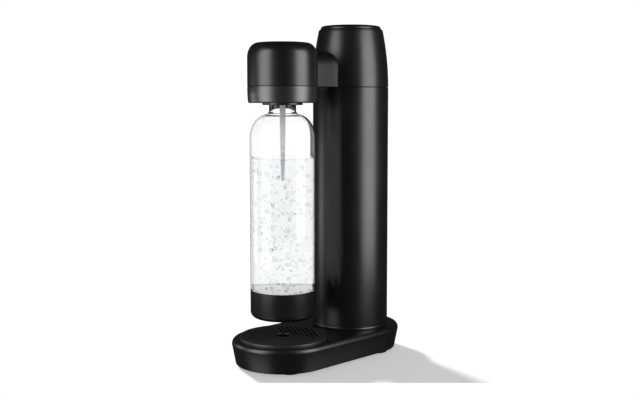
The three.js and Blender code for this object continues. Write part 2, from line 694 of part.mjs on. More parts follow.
function buttonGuide() {
  let guide = disc(coverR(guideZ + guideT - SEAM_Z) - WALL - 0.8, guideZ, guideZ + guideT, SHELL, 0, TOWER_Y);
  guide = guide.subtract(disc(plungerR + GAP, guideZ - 1, guideZ + guideT + 1, MEDIUM, 0, plungerY));
  guide = guide.subtract(disc(6, guideZ - 1, guideZ + guideT + 1, MEDIUM, 0, TOWER_Y));
  for (const { x, y } of legPlaces) {
    guide = guide.add(disc(3.5, FRAME_TOP_Z + GAP, guideZ + 0.1, COARSE, x, y));
  }
  return guide;
}

function actuatorLever() {
  const halfW = 5;
  const bar = block(-halfW, halfW, plungerY - 5, leverPivotY, leverZ - leverHalfT, leverZ + leverHalfT);
  const eye = barAlong("x", leverHalfT + 1, -halfW, halfW, leverPivotY, leverZ, MEDIUM);
  return bar.add(eye).subtract(barAlong("x", 2 + GAP, -10, 10, leverPivotY, leverZ, COARSE));
}

place("carbonation_button", carbonationButton(), blackShell);
place("button_plunger", buttonPlunger(), palePlastic);
place("button_guide", buttonGuide(), innerPlastic);
const buttonSpringZ = guideZ + guideT + GAP;
const buttonCeilingZ = buttonTopZ - buttonTopT;
place("button_spring", spring(12, 0.9, buttonSpringZ, buttonCeilingZ - GAP, 4, TOWER_Y), steel);
place("actuator_lever", actuatorLever(), palePlastic);
place("lever_pin", barAlong("x", 2, -9.5, 9.5, leverPivotY, leverZ, COARSE), steel);

// ------------------------------------------------------------------------------------------------
// Valve block, gas cylinder and hose
// ------------------------------------------------------------------------------------------------

const blockZ = SEAM_Z + 12.3;
const blockTopZ = SEAM_Z + 34;
const socketTopZ = SEAM_Z + VALVE_ABOVE_SEAM + 1.8;
const rodR = 1.8;
const outletZ = SEAM_Z + 27;
const flangeTopZ = blockZ + 8;

function valveBlock() {
  const bodyR = VALVE_THREAD_R + 6;
  let body = disc(bodyR, blockZ, blockTopZ, FINE, 0, TOWER_Y);
  body = body.add(block(-24.5, 24.5, TOWER_Y - 8, TOWER_Y + 8, blockZ, flangeTopZ));
  for (const sx of [-1, 1]) {
    const legX = Math.min(sx * 17.5, sx * 24.5);
    body = body.add(block(legX, legX + 7, TOWER_Y - 8, TOWER_Y + 8, FRAME_TOP_Z + GAP, blockZ + 0.1));
    const earX0 = Math.min(sx * 6, sx * 9);
    body = body.add(block(earX0, earX0 + 3, leverPivotY - 5, leverPivotY + 5, blockTopZ - 4, leverZ + 4));
  }
  body = body.add(barAlong("y", 5.5, TOWER_Y - bodyR - 3, TOWER_Y, 0, outletZ, MEDIUM));
  body = body.subtract(disc(VALVE_THREAD_R + 0.5, FRAME_Z, socketTopZ, FINE, 0, TOWER_Y));
  body = body.subtract(disc(rodR + 0.4, FRAME_Z, blockTopZ + 1, COARSE, 0, TOWER_Y));
  body = body.subtract(barAlong("y", 1.5, TOWER_Y - bodyR - 4, TOWER_Y, 0, outletZ, 8));
  body = body.subtract(barAlong("x", 2 + 0.2, -10, 10, leverPivotY, leverZ, COARSE));
  for (const sx of [-1, 1]) {
    body = body.subtract(disc(1.9, FRAME_Z, flangeTopZ + 1, COARSE, sx * blockScrewX, TOWER_Y));
  }
  return body;
}

function blockScrew(sx) {
  const x = sx * blockScrewX;
  const head = disc(3.2, flangeTopZ + 0.2, flangeTopZ + 2.4, COARSE, x, TOWER_Y);
  return head.add(disc(1.6, FRAME_Z - 2, flangeTopZ + 0.3, COARSE, x, TOWER_Y));
}

const valveTopZ = SEAM_Z + VALVE_ABOVE_SEAM;
const pinTopZ = valveTopZ - 0.5;
const hexTopZ = SEAM_Z - 1.5;
const hexZ = SEAM_Z - 11;
const neckTopZ = hexZ - GAP;
const valvePlugZ = SEAM_Z - 22;
const chamberTopZ = SEAM_Z + 4;

function actuatorRod() {
  const topZ = leverZ - leverHalfT - GAP;
  const bottomZ = pinTopZ + GAP;
  const collarZ = blockTopZ + 2.8;
  const shank = [[0, bottomZ], [rodR, bottomZ], [rodR, collarZ]];
  const collar = [[4, collarZ], [4, topZ - 1.2], [1, topZ], [0, topZ]];
  return turned([...shank, ...collar], COARSE, TOWER_Y);
}

function valveSeal() {
  return ring(rodR + 1.6, VALVE_THREAD_R - 1, valveTopZ + 0.2, socketTopZ - 0.2, FINE, 0, TOWER_Y);
}

function cylinderValve() {
  const hexR = 14;
  const plugR = 8.6;
  let valve = disc(plugR, valvePlugZ, hexZ + 0.1, MEDIUM, 0, TOWER_Y);
  valve = valve.add(disc(hexR, hexZ, hexTopZ, 6, 0, TOWER_Y));
  valve = valve.add(disc(VALVE_THREAD_R - 1.6, hexTopZ - 0.1, SEAM_Z + 4, MEDIUM, 0, TOWER_Y));
  valve = valve.add(disc(VALVE_THREAD_R, SEAM_Z + 3.9, valveTopZ, FINE, 0, TOWER_Y));
  valve = valve.subtract(disc(rodR + 0.4, valvePlugZ - 1, valveTopZ + 1, COARSE, 0, TOWER_Y));
  return valve.subtract(disc(5, valvePlugZ - 1, chamberTopZ, COARSE, 0, TOWER_Y));
}

function valvePin() {
  const discZ = chamberTopZ - 3 - GAP;
  const seatZ = chamberTopZ - GAP;
  const profile = [[0, discZ], [4, discZ], [4, seatZ], [rodR, seatZ], [rodR, pinTopZ], [0, pinTopZ]];
  return turned(profile, COARSE, TOWER_Y);
}

function gasCylinder() {
  const footR = CYLINDER_R - 4;
  const domeZ = SEAM_Z - 48;
  const neckR = 13;
  const neckZ = SEAM_Z - 23;
  const boreR = 9;
  const w = CYLINDER_WALL;
  const path = new THREE.Path();
  path.moveTo(0, CYLINDER_Z + 5);
  path.lineTo(footR - 8, CYLINDER_Z + 4);
  path.lineTo(footR, CYLINDER_Z);
  path.lineTo(CYLINDER_R, CYLINDER_Z + 6);
  path.lineTo(CYLINDER_R, domeZ);
  path.absellipse(neckR, domeZ, CYLINDER_R - neckR, neckZ - domeZ, 0, Math.PI / 2, false, 0);
  path.lineTo(neckR, neckTopZ);
  path.lineTo(boreR, neckTopZ);
  path.lineTo(boreR, neckZ - w);
  path.absellipse(boreR, domeZ, CYLINDER_R - w - boreR, neckZ - w - domeZ, Math.PI / 2, 0, true, 0);
  path.lineTo(CYLINDER_R - w, CYLINDER_Z + 8);
  path.lineTo(footR, CYLINDER_Z + 5 + w);
  path.lineTo(0, CYLINDER_Z + 5 + w);
  return turned(path, FINE, TOWER_Y, 2);
}

// The hose runs from the valve block through the arm to an elbow beside the connector's pivot.
const elbow = { x0: earX + earT + 1.8, size: 6.5 };
const elbowX = elbow.x0 + elbow.size / 2;
const outletEndY = TOWER_Y - VALVE_THREAD_R - 6 - 3;
const outletNutL = 7;
const elbowEndY = BOTTLE_Y + elbow.size;
const hoseR = 2;
const hoseRoute = [
  [0, outletEndY - outletNutL - 2 * GAP, outletZ],
  [0, outletEndY - outletNutL - 12, outletZ],
  [1, BOTTLE_Y + HEAD_R + 18, outletZ - 1],
  [6, BOTTLE_Y + HEAD_R + 2, outletZ - 3],
  [HEAD_R * 0.4, BOTTLE_Y + HEAD_R * 0.6, outletZ - 7],
  [HEAD_R * 0.75, BOTTLE_Y + HEAD_R * 0.39, PIVOT_Z + 2],
  [elbowX, elbowEndY + 4, PIVOT_Z],
  [elbowX, elbowEndY + 2 * GAP, PIVOT_Z],
].map((p) => new THREE.Vector3(...p));

function gasHose() {
  return bentBar(new THREE.CatmullRomCurve3(hoseRoute, false, "centripetal"), hoseR, 8, 24);
}

function outletNut() {
  return barAlong("y", 4.6, outletEndY - GAP - outletNutL, outletEndY - GAP, 0, outletZ, 6);
}

function swivelElbow() {
  const half = elbow.size / 2;
  const x1 = elbow.x0 + elbow.size;
  const body = block(elbow.x0, x1, BOTTLE_Y - half, BOTTLE_Y + half, PIVOT_Z - half, PIVOT_Z + half);
  return body.add(barAlong("y", 3, BOTTLE_Y, elbowEndY, elbowX, PIVOT_Z, COARSE));
}

place("valve_block", valveBlock(), palePlastic);
place("block_screw_right", blockScrew(1), steel);
place("block_screw_left", blockScrew(-1), steel);
place("actuator_rod", actuatorRod(), steel);
place("valve_seal", valveSeal(), sealRubber);
place("co2_cylinder", gasCylinder(), cylinderPaint);
place("cylinder_valve", cylinderValve(), brass);
place("valve_pin", valvePin(), steel);
place("valve_spring", spring(3.4, 0.5, valvePlugZ + 4, chamberTopZ - 3 - 2 * GAP, 4, TOWER_Y), steel);
place("gas_hose", gasHose(), hose);
place("outlet_nut", outletNut(), brass);
place("swivel_elbow", swivelElbow(), palePlastic);

// ------------------------------------------------------------------------------------------------
// Head: cap, band, floor
// ------------------------------------------------------------------------------------------------

function headCap() {
  const topZ = SEAM_Z + CAP_H;
  const edgeZ = topZ - CAP_EDGE_H;
  const flatR = HEAD_R - CAP_EDGE_W;
  const outer = new THREE.Path();
  outer.moveTo(0, SEAM_Z + GAP);
  outer.lineTo(HEAD_R, SEAM_Z + GAP);
  outer.lineTo(HEAD_R, edgeZ);
  outer.absellipse(flatR, edgeZ, CAP_EDGE_W, CAP_EDGE_H - 0.6, 0, Math.PI / 2, false, 0);
  outer.lineTo(0, topZ);
  const inner = new THREE.Path();
  inner.moveTo(0, SEAM_Z - 1);
  inner.lineTo(HEAD_R - WALL, SEAM_Z - 1);
  inner.lineTo(HEAD_R - WALL, edgeZ);
  inner.absellipse(flatR, edgeZ, CAP_EDGE_W - WALL, CAP_EDGE_H - WALL - 0.6, 0, Math.PI / 2, false, 0);
  inner.lineTo(0, topZ - WALL);
  const cap = turned(outer, SHELL, BOTTLE_Y, 3).subtract(turned(inner, SHELL, BOTTLE_Y, 3));
  return cap.subtract(armBody(GAP, BOTTLE_Y, 0));
}

function headBand() {
  const innerR = HEAD_R - WALL;
  return turned(
    [
      [innerR, HEAD_Z],
      [HEAD_R - 2.4, HEAD_Z],
      [HEAD_R - 1, HEAD_Z + 1],
      [HEAD_R - 0.6, HEAD_Z + 2.4],
      [HEAD_R, HEAD_Z + BAND_H * 0.6],
      [HEAD_R, SEAM_Z],
      [innerR, SEAM_Z],
    ],
    SHELL,
    BOTTLE_Y,
  );
}

const floorT = 2.5;

function headFloor() {
  const holeR = CONNECTOR_R + 0.7;
  const floorR = HEAD_R - WALL - GAP;
  let floor = disc(floorR, HEAD_Z + 0.4, HEAD_Z + 0.4 + floorT, SHELL, 0, BOTTLE_Y);
  for (const sx of [-1, 1]) {
    floor = floor.add(disc(4, HEAD_Z + floorT, FRAME_Z - GAP, COARSE, sx * headScrewX, headScrewY));
  }
  const reach = (PIVOT_Z - HEAD_Z) * Math.sin(tilt);
  floor = floor.subtract(swingSlot(holeR, reach, HEAD_Z - 1, FRAME_Z, BOTTLE_Y));
  for (const sx of [-1, 1]) {
    floor = floor.subtract(disc(1.9, HEAD_Z - 1, FRAME_Z + 1, COARSE, sx * headScrewX, headScrewY));
    floor = floor.subtract(disc(3.4, HEAD_Z - 1, HEAD_Z + 2, COARSE, sx * headScrewX, headScrewY));
  }
  return floor;
}

place("head_cap", headCap(), blackShell);
place("head_band", headBand(), blackTrim);
place("head_floor", headFloor(), blackShell);
for (const [name, sx] of [["right", 1], ["left", -1]]) {
  const length = FRAME_TOP_Z - HEAD_Z;
  place(`head_screw_${name}`, screw(sx * headScrewX, headScrewY, HEAD_Z + 0.1, length), steel);
}

// ------------------------------------------------------------------------------------------------
// Bottle connector: it tilts forward on two trunnions, and carries the nozzle and the relief valve
// ------------------------------------------------------------------------------------------------

const connectorZ = HEAD_Z - CONNECTOR_LIP;
const connectorTopZ = PIVOT_Z + 4;
const socketR = NECK_R + 1.5;
const socketCeilingZ = MOUTH_Z + 3;
const holderR = 8;
const nozzleTopZ = socketCeilingZ + 5;
const reliefTopZ = connectorTopZ + 16;

function bottleConnector() {
  let body = turned(
    [
      [socketR, connectorZ],
      [CONNECTOR_R - 1, connectorZ],
      [CONNECTOR_R, connectorZ + 1],
      [CONNECTOR_R, connectorTopZ],
      [NOZZLE_TOP_R + 0.4, connectorTopZ],
      [NOZZLE_TOP_R + 0.4, socketCeilingZ + 6],
      [holderR + GAP, socketCeilingZ + 6],
      [holderR + GAP, socketCeilingZ],
      [socketR, socketCeilingZ],
    ],
    FINE,
    BOTTLE_Y,
  );
  for (const sx of [-1, 1]) {
    const from = Math.min(sx * 14, sx * (CONNECTOR_R + 2));
    const to = Math.max(sx * 14, sx * (CONNECTOR_R + 2));
    body = body.subtract(barAlong("x", trunnionR + 0.2, from, to, BOTTLE_Y, PIVOT_Z, COARSE));
  }
  return body;
}

function trunnion(sx) {
  const outer = sx * (earX + earT + 0.8);
  const inner = sx * 14.4;
  const from = Math.min(outer, inner);
  const to = Math.max(outer, inner);
  return barAlong("x", trunnionR - 0.1, from, to, BOTTLE_Y, PIVOT_Z, COARSE);
}

function nozzleHolder() {
  const bottomZ = MOUTH_Z - 6;
  return turned(
    [
      [NOZZLE_TOP_R + GAP, bottomZ],
      [6, bottomZ],
      [holderR, bottomZ + 3],
      [holderR, socketCeilingZ + 5.6],
      [NOZZLE_TOP_R + GAP, socketCeilingZ + 5.6],
    ],
    MEDIUM,
    BOTTLE_Y,
  );
}

// Radius of the nozzle's taper, which stays full near the top and thins out below the middle.
function nozzleR(t) {
  return NOZZLE_TIP_R + (NOZZLE_TOP_R - NOZZLE_TIP_R) * Math.cos((Math.PI / 2) * t) ** 0.8;
}

function nozzle() {
  const tipZ = MOUTH_Z - NOZZLE_BELOW_MOUTH;
  const startZ = HEAD_Z;
  const steps = 6;
  const boreR = 0.7;
  const points = [[boreR, nozzleTopZ], [NOZZLE_TOP_R, nozzleTopZ], [NOZZLE_TOP_R, startZ]];
  for (let i = 1; i <= steps; i++) points.push([nozzleR(i / steps), startZ + ((tipZ - startZ) * i) / steps]);
  points.push([boreR, tipZ]);
  return turned(points, COARSE, BOTTLE_Y);
}

function bottleSeal() {
  return ring(holderR + 1, NECK_R, MOUTH_Z + GAP, socketCeilingZ - GAP, FINE, 0, BOTTLE_Y);
}

const reliefSeatZ = connectorTopZ + 4;

function reliefBody() {
  return turned(
    [
      [1.6, connectorTopZ + GAP],
      [8, connectorTopZ + GAP],
      [8, reliefTopZ],
      [2.2, reliefTopZ],
      [2.2, reliefTopZ - 2],
      [5.4, reliefTopZ - 2],
      [5.4, reliefSeatZ],
      [1.6, reliefSeatZ],
    ],
    MEDIUM,
    BOTTLE_Y,
  );
}

function reliefPoppet() {
  const z = reliefSeatZ + GAP;
  const topZ = reliefTopZ + 1.5;
  return turned([[0, z], [4.6, z], [4.6, z + 2], [1.7, z + 2], [1.7, topZ], [0, topZ]], COARSE, BOTTLE_Y);
}

place("bottle_connector", bottleConnector(), blackShell);
place("trunnion_right", trunnion(1), steel);
place("trunnion_left", trunnion(-1), steel);
place("nozzle_holder", nozzleHolder(), palePlastic);
place("nozzle", nozzle(), palePlastic);
place("bottle_seal", bottleSeal(), sealRubber);
place("relief_body", reliefBody(), palePlastic);
place("relief_poppet", reliefPoppet(), steel);
const reliefSpringZ = reliefSeatZ + 2 + 2 * GAP;
place("relief_spring", spring(3.4, 0.45, reliefSpringZ, reliefTopZ - 2 - GAP, 3, BOTTLE_Y), steel);

// ------------------------------------------------------------------------------------------------
// Bottle, its base cup and its water
// ------------------------------------------------------------------------------------------------

const bodyTopZ = MOUTH_Z - NECK_LENGTH - SHOULDER_H;
const neckFootZ = MOUTH_Z - NECK_LENGTH;
const cupTopZ = CUP_Z + CUP_H;
const heelR = BOTTLE_R - CUP_WALL - GAP;
const heelBottomZ = CUP_Z + CUP_WALL + 2;
const threadTopZ = MOUTH_Z - 1.6;

// The bottle's inside or outside, as a path from the bottom up to the neck.
function bottlePath(inset) {
  const path = new THREE.Path();
  const heelDome = 26;
  path.moveTo(0, heelBottomZ + inset);
  path.absellipse(0, heelBottomZ + heelDome, heelR - inset, heelDome - inset, -Math.PI / 2, 0, false, 0);
  path.lineTo(heelR - inset, cupTopZ + GAP + inset);
  path.lineTo(BOTTLE_R - inset, cupTopZ + 2 * GAP + inset);
  path.lineTo(BOTTLE_R - inset, bodyTopZ);
  const shoulderH = SHOULDER_H - 2 - inset;
  path.absellipse(NECK_R - inset, bodyTopZ, BOTTLE_R - NECK_R, shoulderH, 0, Math.PI / 2.3, false, 0);
  path.lineTo(NECK_R - inset, neckFootZ + 2);
  return path;
}

function bottle() {
  const outer = bottlePath(0);
  outer.lineTo(NECK_R, threadTopZ - 9);
  outer.lineTo(NECK_R + 0.9, threadTopZ - 8);
  outer.lineTo(NECK_R + 0.9, threadTopZ - 1);
  outer.lineTo(NECK_R, threadTopZ);
  outer.lineTo(NECK_R, MOUTH_Z);
  outer.lineTo(0, MOUTH_Z);
  const inner = bottlePath(BOTTLE_WALL);
  inner.lineTo(NECK_R - BOTTLE_WALL, MOUTH_Z + 1);
  inner.lineTo(0, MOUTH_Z + 1);
  return turned(outer, FINE, BOTTLE_Y, 3).subtract(turned(inner, FINE, BOTTLE_Y, 3));
}

function baseCup() {
  const path = new THREE.Path();
  const w = CUP_WALL;
  path.moveTo(0, CUP_Z + 1.5);
  path.lineTo(BOTTLE_R - CUP_EDGE - 4, CUP_Z + 1.5);
  path.lineTo(BOTTLE_R - CUP_EDGE - 2, CUP_Z);
  path.absellipse(BOTTLE_R - CUP_EDGE, CUP_Z + CUP_EDGE, CUP_EDGE, CUP_EDGE, -Math.PI / 2, 0, false, 0);
  path.lineTo(BOTTLE_R, cupTopZ);
  path.lineTo(BOTTLE_R - w, cupTopZ);
  path.lineTo(BOTTLE_R - w, CUP_Z + CUP_EDGE);
  const innerEdge = CUP_EDGE - w;
  path.absellipse(BOTTLE_R - CUP_EDGE, CUP_Z + CUP_EDGE, innerEdge, innerEdge, 0, -Math.PI / 2, true, 0);
  path.lineTo(BOTTLE_R - CUP_EDGE - 4, CUP_Z + 1.5 + w);
  path.lineTo(0, CUP_Z + 1.5 + w);
  return turned(path, FINE, BOTTLE_Y, 3);
}

// Water up to the fill line, with a clearance round the nozzle.
function water() {
  const fillZ = MOUTH_Z - FILL_BELOW_MOUTH;
  const inset = BOTTLE_WALL + 0.7;
  const path = bottlePath(inset);
  const body = turned([...path.getPoints(3).map((p) => [p.x, p.y]), [0, neckFootZ + 2]], FINE, BOTTLE_Y);
  const wide = BOTTLE_R * 2;
  const above = block(-wide, wide, BOTTLE_Y - wide, BOTTLE_Y + wide, fillZ, MOUTH_Z + 10);
  const well = disc(NOZZLE_TOP_R + 0.4, MOUTH_Z - NOZZLE_BELOW_MOUTH - 8, fillZ + 1, COARSE, 0, BOTTLE_Y);
  return body.subtract(above).subtract(well);
}

place("bottle", bottle(), clearPlastic);
place("bottle_cup", baseCup(), blackShell);
place("water", water(), waterBody);

export default carbonator;
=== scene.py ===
# %% [markdown]
# # A soda carbonator
# The machine has a stadium-shaped base with a drip tray, a round tower that holds a gas cylinder,
# and a head that carries the bottle. The frame that is loaded first gives every part's place and
# the bodies that move. The shapes below are the same parts with a finer surface.

# %% Load the frame
import json
import math
import bmesh
import bpy
from mathutils import Matrix, Vector


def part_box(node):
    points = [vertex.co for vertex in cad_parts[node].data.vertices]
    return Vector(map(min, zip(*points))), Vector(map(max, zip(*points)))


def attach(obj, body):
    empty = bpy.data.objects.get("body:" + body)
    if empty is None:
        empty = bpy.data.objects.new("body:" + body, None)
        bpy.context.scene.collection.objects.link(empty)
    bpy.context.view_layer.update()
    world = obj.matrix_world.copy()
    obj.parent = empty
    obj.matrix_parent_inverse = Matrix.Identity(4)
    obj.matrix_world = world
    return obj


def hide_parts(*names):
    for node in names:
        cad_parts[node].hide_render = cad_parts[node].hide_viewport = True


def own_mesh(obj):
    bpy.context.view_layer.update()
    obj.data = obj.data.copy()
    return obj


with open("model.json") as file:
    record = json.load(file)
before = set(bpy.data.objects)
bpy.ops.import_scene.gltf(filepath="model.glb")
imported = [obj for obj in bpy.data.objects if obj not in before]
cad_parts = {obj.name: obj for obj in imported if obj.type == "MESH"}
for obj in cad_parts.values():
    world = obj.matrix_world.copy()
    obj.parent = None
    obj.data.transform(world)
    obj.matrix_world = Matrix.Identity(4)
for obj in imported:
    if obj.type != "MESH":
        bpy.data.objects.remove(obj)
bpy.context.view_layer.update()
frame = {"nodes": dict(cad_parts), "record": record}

# %% [markdown]
# ## Sizes
# Lengths are written in millimetres, as a maker would, and turned to metres where a mesh is made.
# The bottle's axis and the tower's axis are upright and stand on the machine's middle line.

# %% Sizes shared by several parts
BOTTLE_Y = -60.5
TOWER_Y = 60.5
SEAM = 342.5          # where the covers sit on the tower and the cap sits on the band
GAP = 0.3
TOWER_R = 49.0
TOWER_INNER_R = 46.6
TOWER_FOOT = 33.3
HEAD_R = 42.8
BOTTLE_R = 40.2
NECK_R = 16.5
HEEL_R = 38.1          # the clear bottle inside its base cup
BOTTLE_WALL = 1.2
MOUTH = 338.0
CUP_FOOT = 59.5
WATER_TOP = 256.5
NOZZLE_SHOULDER = 322.5
NOZZLE_TIP = 228.0
TRAY_TOP = 36.3       # level of the tray's rim and the grille
RIM = 416.5           # top of the tower's upper cover
ARM_HALF = 19.7
ARM_SIDE = 24.0
ROUND = 144           # steps round a full turn
RELIEF_DEPTH = 0.00004  # metres, the depth of a finish's grain


def cover_radius(height):
    """Outside radius of the upper cover at a height over the seam: it bows in towards the rim."""
    return TOWER_R - 7.7 * (height / 74.0) ** 2


print("tower radius", TOWER_R, "mm, cover's top radius", round(cover_radius(74), 1), "mm")

# %% [markdown]
# ## Shader node groups
# Moulded plastic is never quite even: the mould leaves a fine grain, and handling leaves faint
# cloudy marks. Both are wanted in several materials, so each is a node group that is built once.
# A group only puts out values that change over the surface; the shader stays in each material.

# %% Helpers that place a node, and start and end a shader group
def put(tree, kind, at=(0, 0), values=None, **settings):
    """A new node with its settings. Its inputs are given by name or number: a value, or a socket to link."""
    node = tree.nodes.new(kind)
    node.location = at
    for key, value in settings.items():
        setattr(node, key, value)
    for key, value in (values or {}).items():
        if isinstance(value, bpy.types.NodeSocket):
            tree.links.new(value, node.inputs[key])
        else:
            node.inputs[key].default_value = value
    return node


def start_group(name, inputs):
    """A shader group with a place, numbers and colours coming in, and its input sockets."""
    tree = bpy.data.node_groups.new(name, "ShaderNodeTree")
    tree.interface.new_socket(name="Place", in_out="INPUT", socket_type="NodeSocketVector")
    for label, default in inputs.items():
        kind = "NodeSocketFloat" if isinstance(default, float) else "NodeSocketColor"
        socket = tree.interface.new_socket(name=label, in_out="INPUT", socket_type=kind)
        socket.default_value = default
    for label, kind in (("Colour", "Color"), ("Roughness", "Float"), ("Height", "Float")):
        tree.interface.new_socket(name=label, in_out="OUTPUT", socket_type="NodeSocket" + kind)
    return tree, put(tree, "NodeGroupInput", (-900, 0)).outputs


def end_group(tree, enter, marks, lowest, highest, mixing, height):
    """The roughness follows the marks, the colour follows the mixing value, and both go out."""
    rough = put(tree, "ShaderNodeMapRange", (-50, -150), {
        0: marks, "From Min": lowest, "From Max": highest,
        "To Min": enter["Smooth"], "To Max": enter["Rough"]})
    tone = put(tree, "ShaderNodeMix", (-50, 150), {
        "Factor": mixing, "A": enter["Deep Colour"], "B": enter["Pale Colour"]}, data_type="RGBA")
    put(tree, "NodeGroupOutput", (500, 0), {
        "Colour": tone.outputs["Result"], "Roughness": rough.outputs[0], "Height": height})
    return tree


def maths(tree, operation, a, b=None):
    """A Math node's result; a and b are numbers or sockets."""
    values = {0: a} if b is None else {0: a, 1: b}
    return put(tree, "ShaderNodeMath", (0, 0), values, operation=operation).outputs[0]


# %% Moulded grain: an even, fine texture left by the mould, with faint cloudy handling marks
def build_moulded_grain():
    tree, enter = start_group("moulded_grain", {
        "Grain Scale": 1800.0, "Cloud Scale": 28.0, "Smooth": 0.30, "Rough": 0.38,
        "Deep Colour": (0.01, 0.01, 0.01, 1), "Pale Colour": (0.014, 0.014, 0.014, 1)})
    grain = put(tree, "ShaderNodeTexNoise", (-600, 150), {
        "Vector": enter["Place"], "Scale": enter["Grain Scale"], "Detail": 3.0, "Roughness": 0.6}).outputs[0]
    cloud = put(tree, "ShaderNodeTexNoise", (-600, -150), {
        "Vector": enter["Place"], "Scale": enter["Cloud Scale"], "Detail": 4.0, "Roughness": 0.55}).outputs[0]
    spread = put(tree, "ShaderNodeMapRange", (-350, -150), {
        0: cloud, "From Min": 0.3, "From Max": 0.7}).outputs[0]
    both = maths(tree, "MULTIPLY", maths(tree, "ADD", grain, spread), 0.5)
    return end_group(tree, enter, spread, 0.0, 1.0, both, grain)


MOULDED_GRAIN = build_moulded_grain()
print("group:", MOULDED_GRAIN.name)


# %% Turning marks: the fine rings that a lathe or a brush leaves, for the metal parts
def build_turning_marks():
    tree, enter = start_group("turning_marks", {
        "Ring Scale": 900.0, "Smooth": 0.22, "Rough": 0.4,
        "Deep Colour": (0.4, 0.4, 0.42, 1), "Pale Colour": (0.55, 0.55, 0.57, 1)})
    squeeze = put(tree, "ShaderNodeMapping", (-700, 0), {
        "Vector": enter["Place"], "Scale": (0.08, 0.08, 1.0)})
    rings = put(tree, "ShaderNodeTexNoise", (-450, 0), {
        "Vector": squeeze.outputs[0], "Scale": enter["Ring Scale"], "Detail": 2.0}).outputs[0]
    return end_group(tree, enter, rings, 0.3, 0.7, rings, rings)


TURNING_MARKS = build_turning_marks()
print("group:", TURNING_MARKS.name)

# %% [markdown]
# ## Materials
# Every finish is a Principled shader whose colour, roughness and bump come from one of the two
# groups, each with its own values. Plain numbers, such as the metallic weight, are set on the
# shader itself.

# %% A helper for surface materials
def new_shader(name):
    """A new material, its node tree and its shader's inputs."""
    material = bpy.data.materials.new(name)
    material.use_nodes = True
    return material, material.node_tree, material.node_tree.nodes["Principled BSDF"].inputs


def surface(name, group, values, metallic=0.0, bump=0.02, specular=0.5, coat=0.0):
    """A material whose shader takes colour, roughness and bump from one of the groups."""
    material, tree, shader = new_shader(name)
    place = put(tree, "ShaderNodeTexCoord", (-800, 0))
    effect = put(tree, "ShaderNodeGroup", (-500, 0), node_tree=group)
    tree.links.new(place.outputs["Object"], effect.inputs["Place"])
    for key, value in values.items():
        effect.inputs[key].default_value = value
    relief = put(tree, "ShaderNodeBump", (-250, -250), {
        "Strength": bump, "Distance": RELIEF_DEPTH, "Height": effect.outputs["Height"]})
    tree.links.new(effect.outputs["Colour"], shader["Base Color"])
    tree.links.new(effect.outputs["Roughness"], shader["Roughness"])
    tree.links.new(relief.outputs["Normal"], shader["Normal"])
    shader["Metallic"].default_value = metallic
    shader["Specular IOR Level"].default_value = specular
    if coat:
        shader["Coat Weight"].default_value = coat
        shader["Coat Roughness"].default_value = 0.2
    return material


def lit_within(material, strength):
    """The material gives off a little white light of its own."""
    shader = material.node_tree.nodes["Principled BSDF"].inputs
    shader["Emission Color"].default_value = (1, 1, 1, 1)
    shader["Emission Strength"].default_value = strength


def tint(colour):
    """A colour with its opacity, from three numbers or from one number for a grey."""
    return (*colour, 1.0) if isinstance(colour, tuple) else (colour, colour, colour, 1.0)


def moulded(name, smooth, rough, deep, pale, grain=1800.0, **look):
    """A moulded finish: the roughness and the colour each lie between two values."""
    return surface(name, MOULDED_GRAIN, {
        "Smooth": smooth, "Rough": rough, "Deep Colour": tint(deep), "Pale Colour": tint(pale),
        "Grain Scale": grain}, **look)


def metal(name, deep, pale, bump):
    return surface(name, TURNING_MARKS, {
        "Deep Colour": tint(deep), "Pale Colour": tint(pale)}, metallic=1.0, bump=bump)


# %% Plastics, rubbers, paint and metals, by the slot that each fills
SLOT_MATERIAL = {
    "black_shell": moulded("satin_black", 0.30, 0.36, 0.0018, 0.0028, bump=0.10),
    "black_trim": moulded("band_black", 0.32, 0.38, 0.003, 0.0045, bump=0.08, specular=0.78),
    "black_tray": moulded("tray_black", 0.36, 0.44, 0.006, 0.009, grain=1300.0, bump=0.25),
    "inner_plastic": moulded("inner_grey", 0.5, 0.62, (0.036, 0.038, 0.041), (0.05, 0.053, 0.057), bump=0.2),
    "pale_plastic": moulded("pale_grey", 0.3, 0.4, (0.50, 0.51, 0.52), (0.60, 0.61, 0.62), bump=0.06),
    "rubber_foot": moulded("foot_rubber", 0.75, 0.88, 0.006, 0.011, grain=900.0, bump=0.4, specular=0.3),
    "seal_rubber": moulded("seal_red", 0.55, 0.68, (0.10, 0.016, 0.012), (0.14, 0.024, 0.018), bump=0.15),
    "hose": moulded("hose_rubber", 0.45, 0.58, (0.026, 0.03, 0.037), (0.036, 0.041, 0.05), bump=0.3),
    "cylinder_paint": moulded("cylinder_paint", 0.3, 0.42, (0.23, 0.265, 0.29), (0.29, 0.33, 0.36),
                              grain=2600.0, metallic=0.55, bump=0.1, coat=0.4),
    "steel": metal("plated_steel", (0.45, 0.46, 0.48), (0.58, 0.59, 0.61), 0.1),
    "brass": metal("turned_brass", (0.40, 0.24, 0.07), (0.55, 0.36, 0.12), 0.12),
}
LINER_WHITE_PAINTED_GLOW = moulded("liner_white_painted_glow", 0.6, 0.7, 0.84, 0.88)
# Painted light: the liner glows a little, so that the foot of the clear bottle looks lit
lit_within(LINER_WHITE_PAINTED_GLOW, 0.6)
FILL_LINE_GREY = moulded("fill_line_grey", 0.5, 0.6, 0.5, 0.6)
print("finishes:", len(SLOT_MATERIAL) + 2)


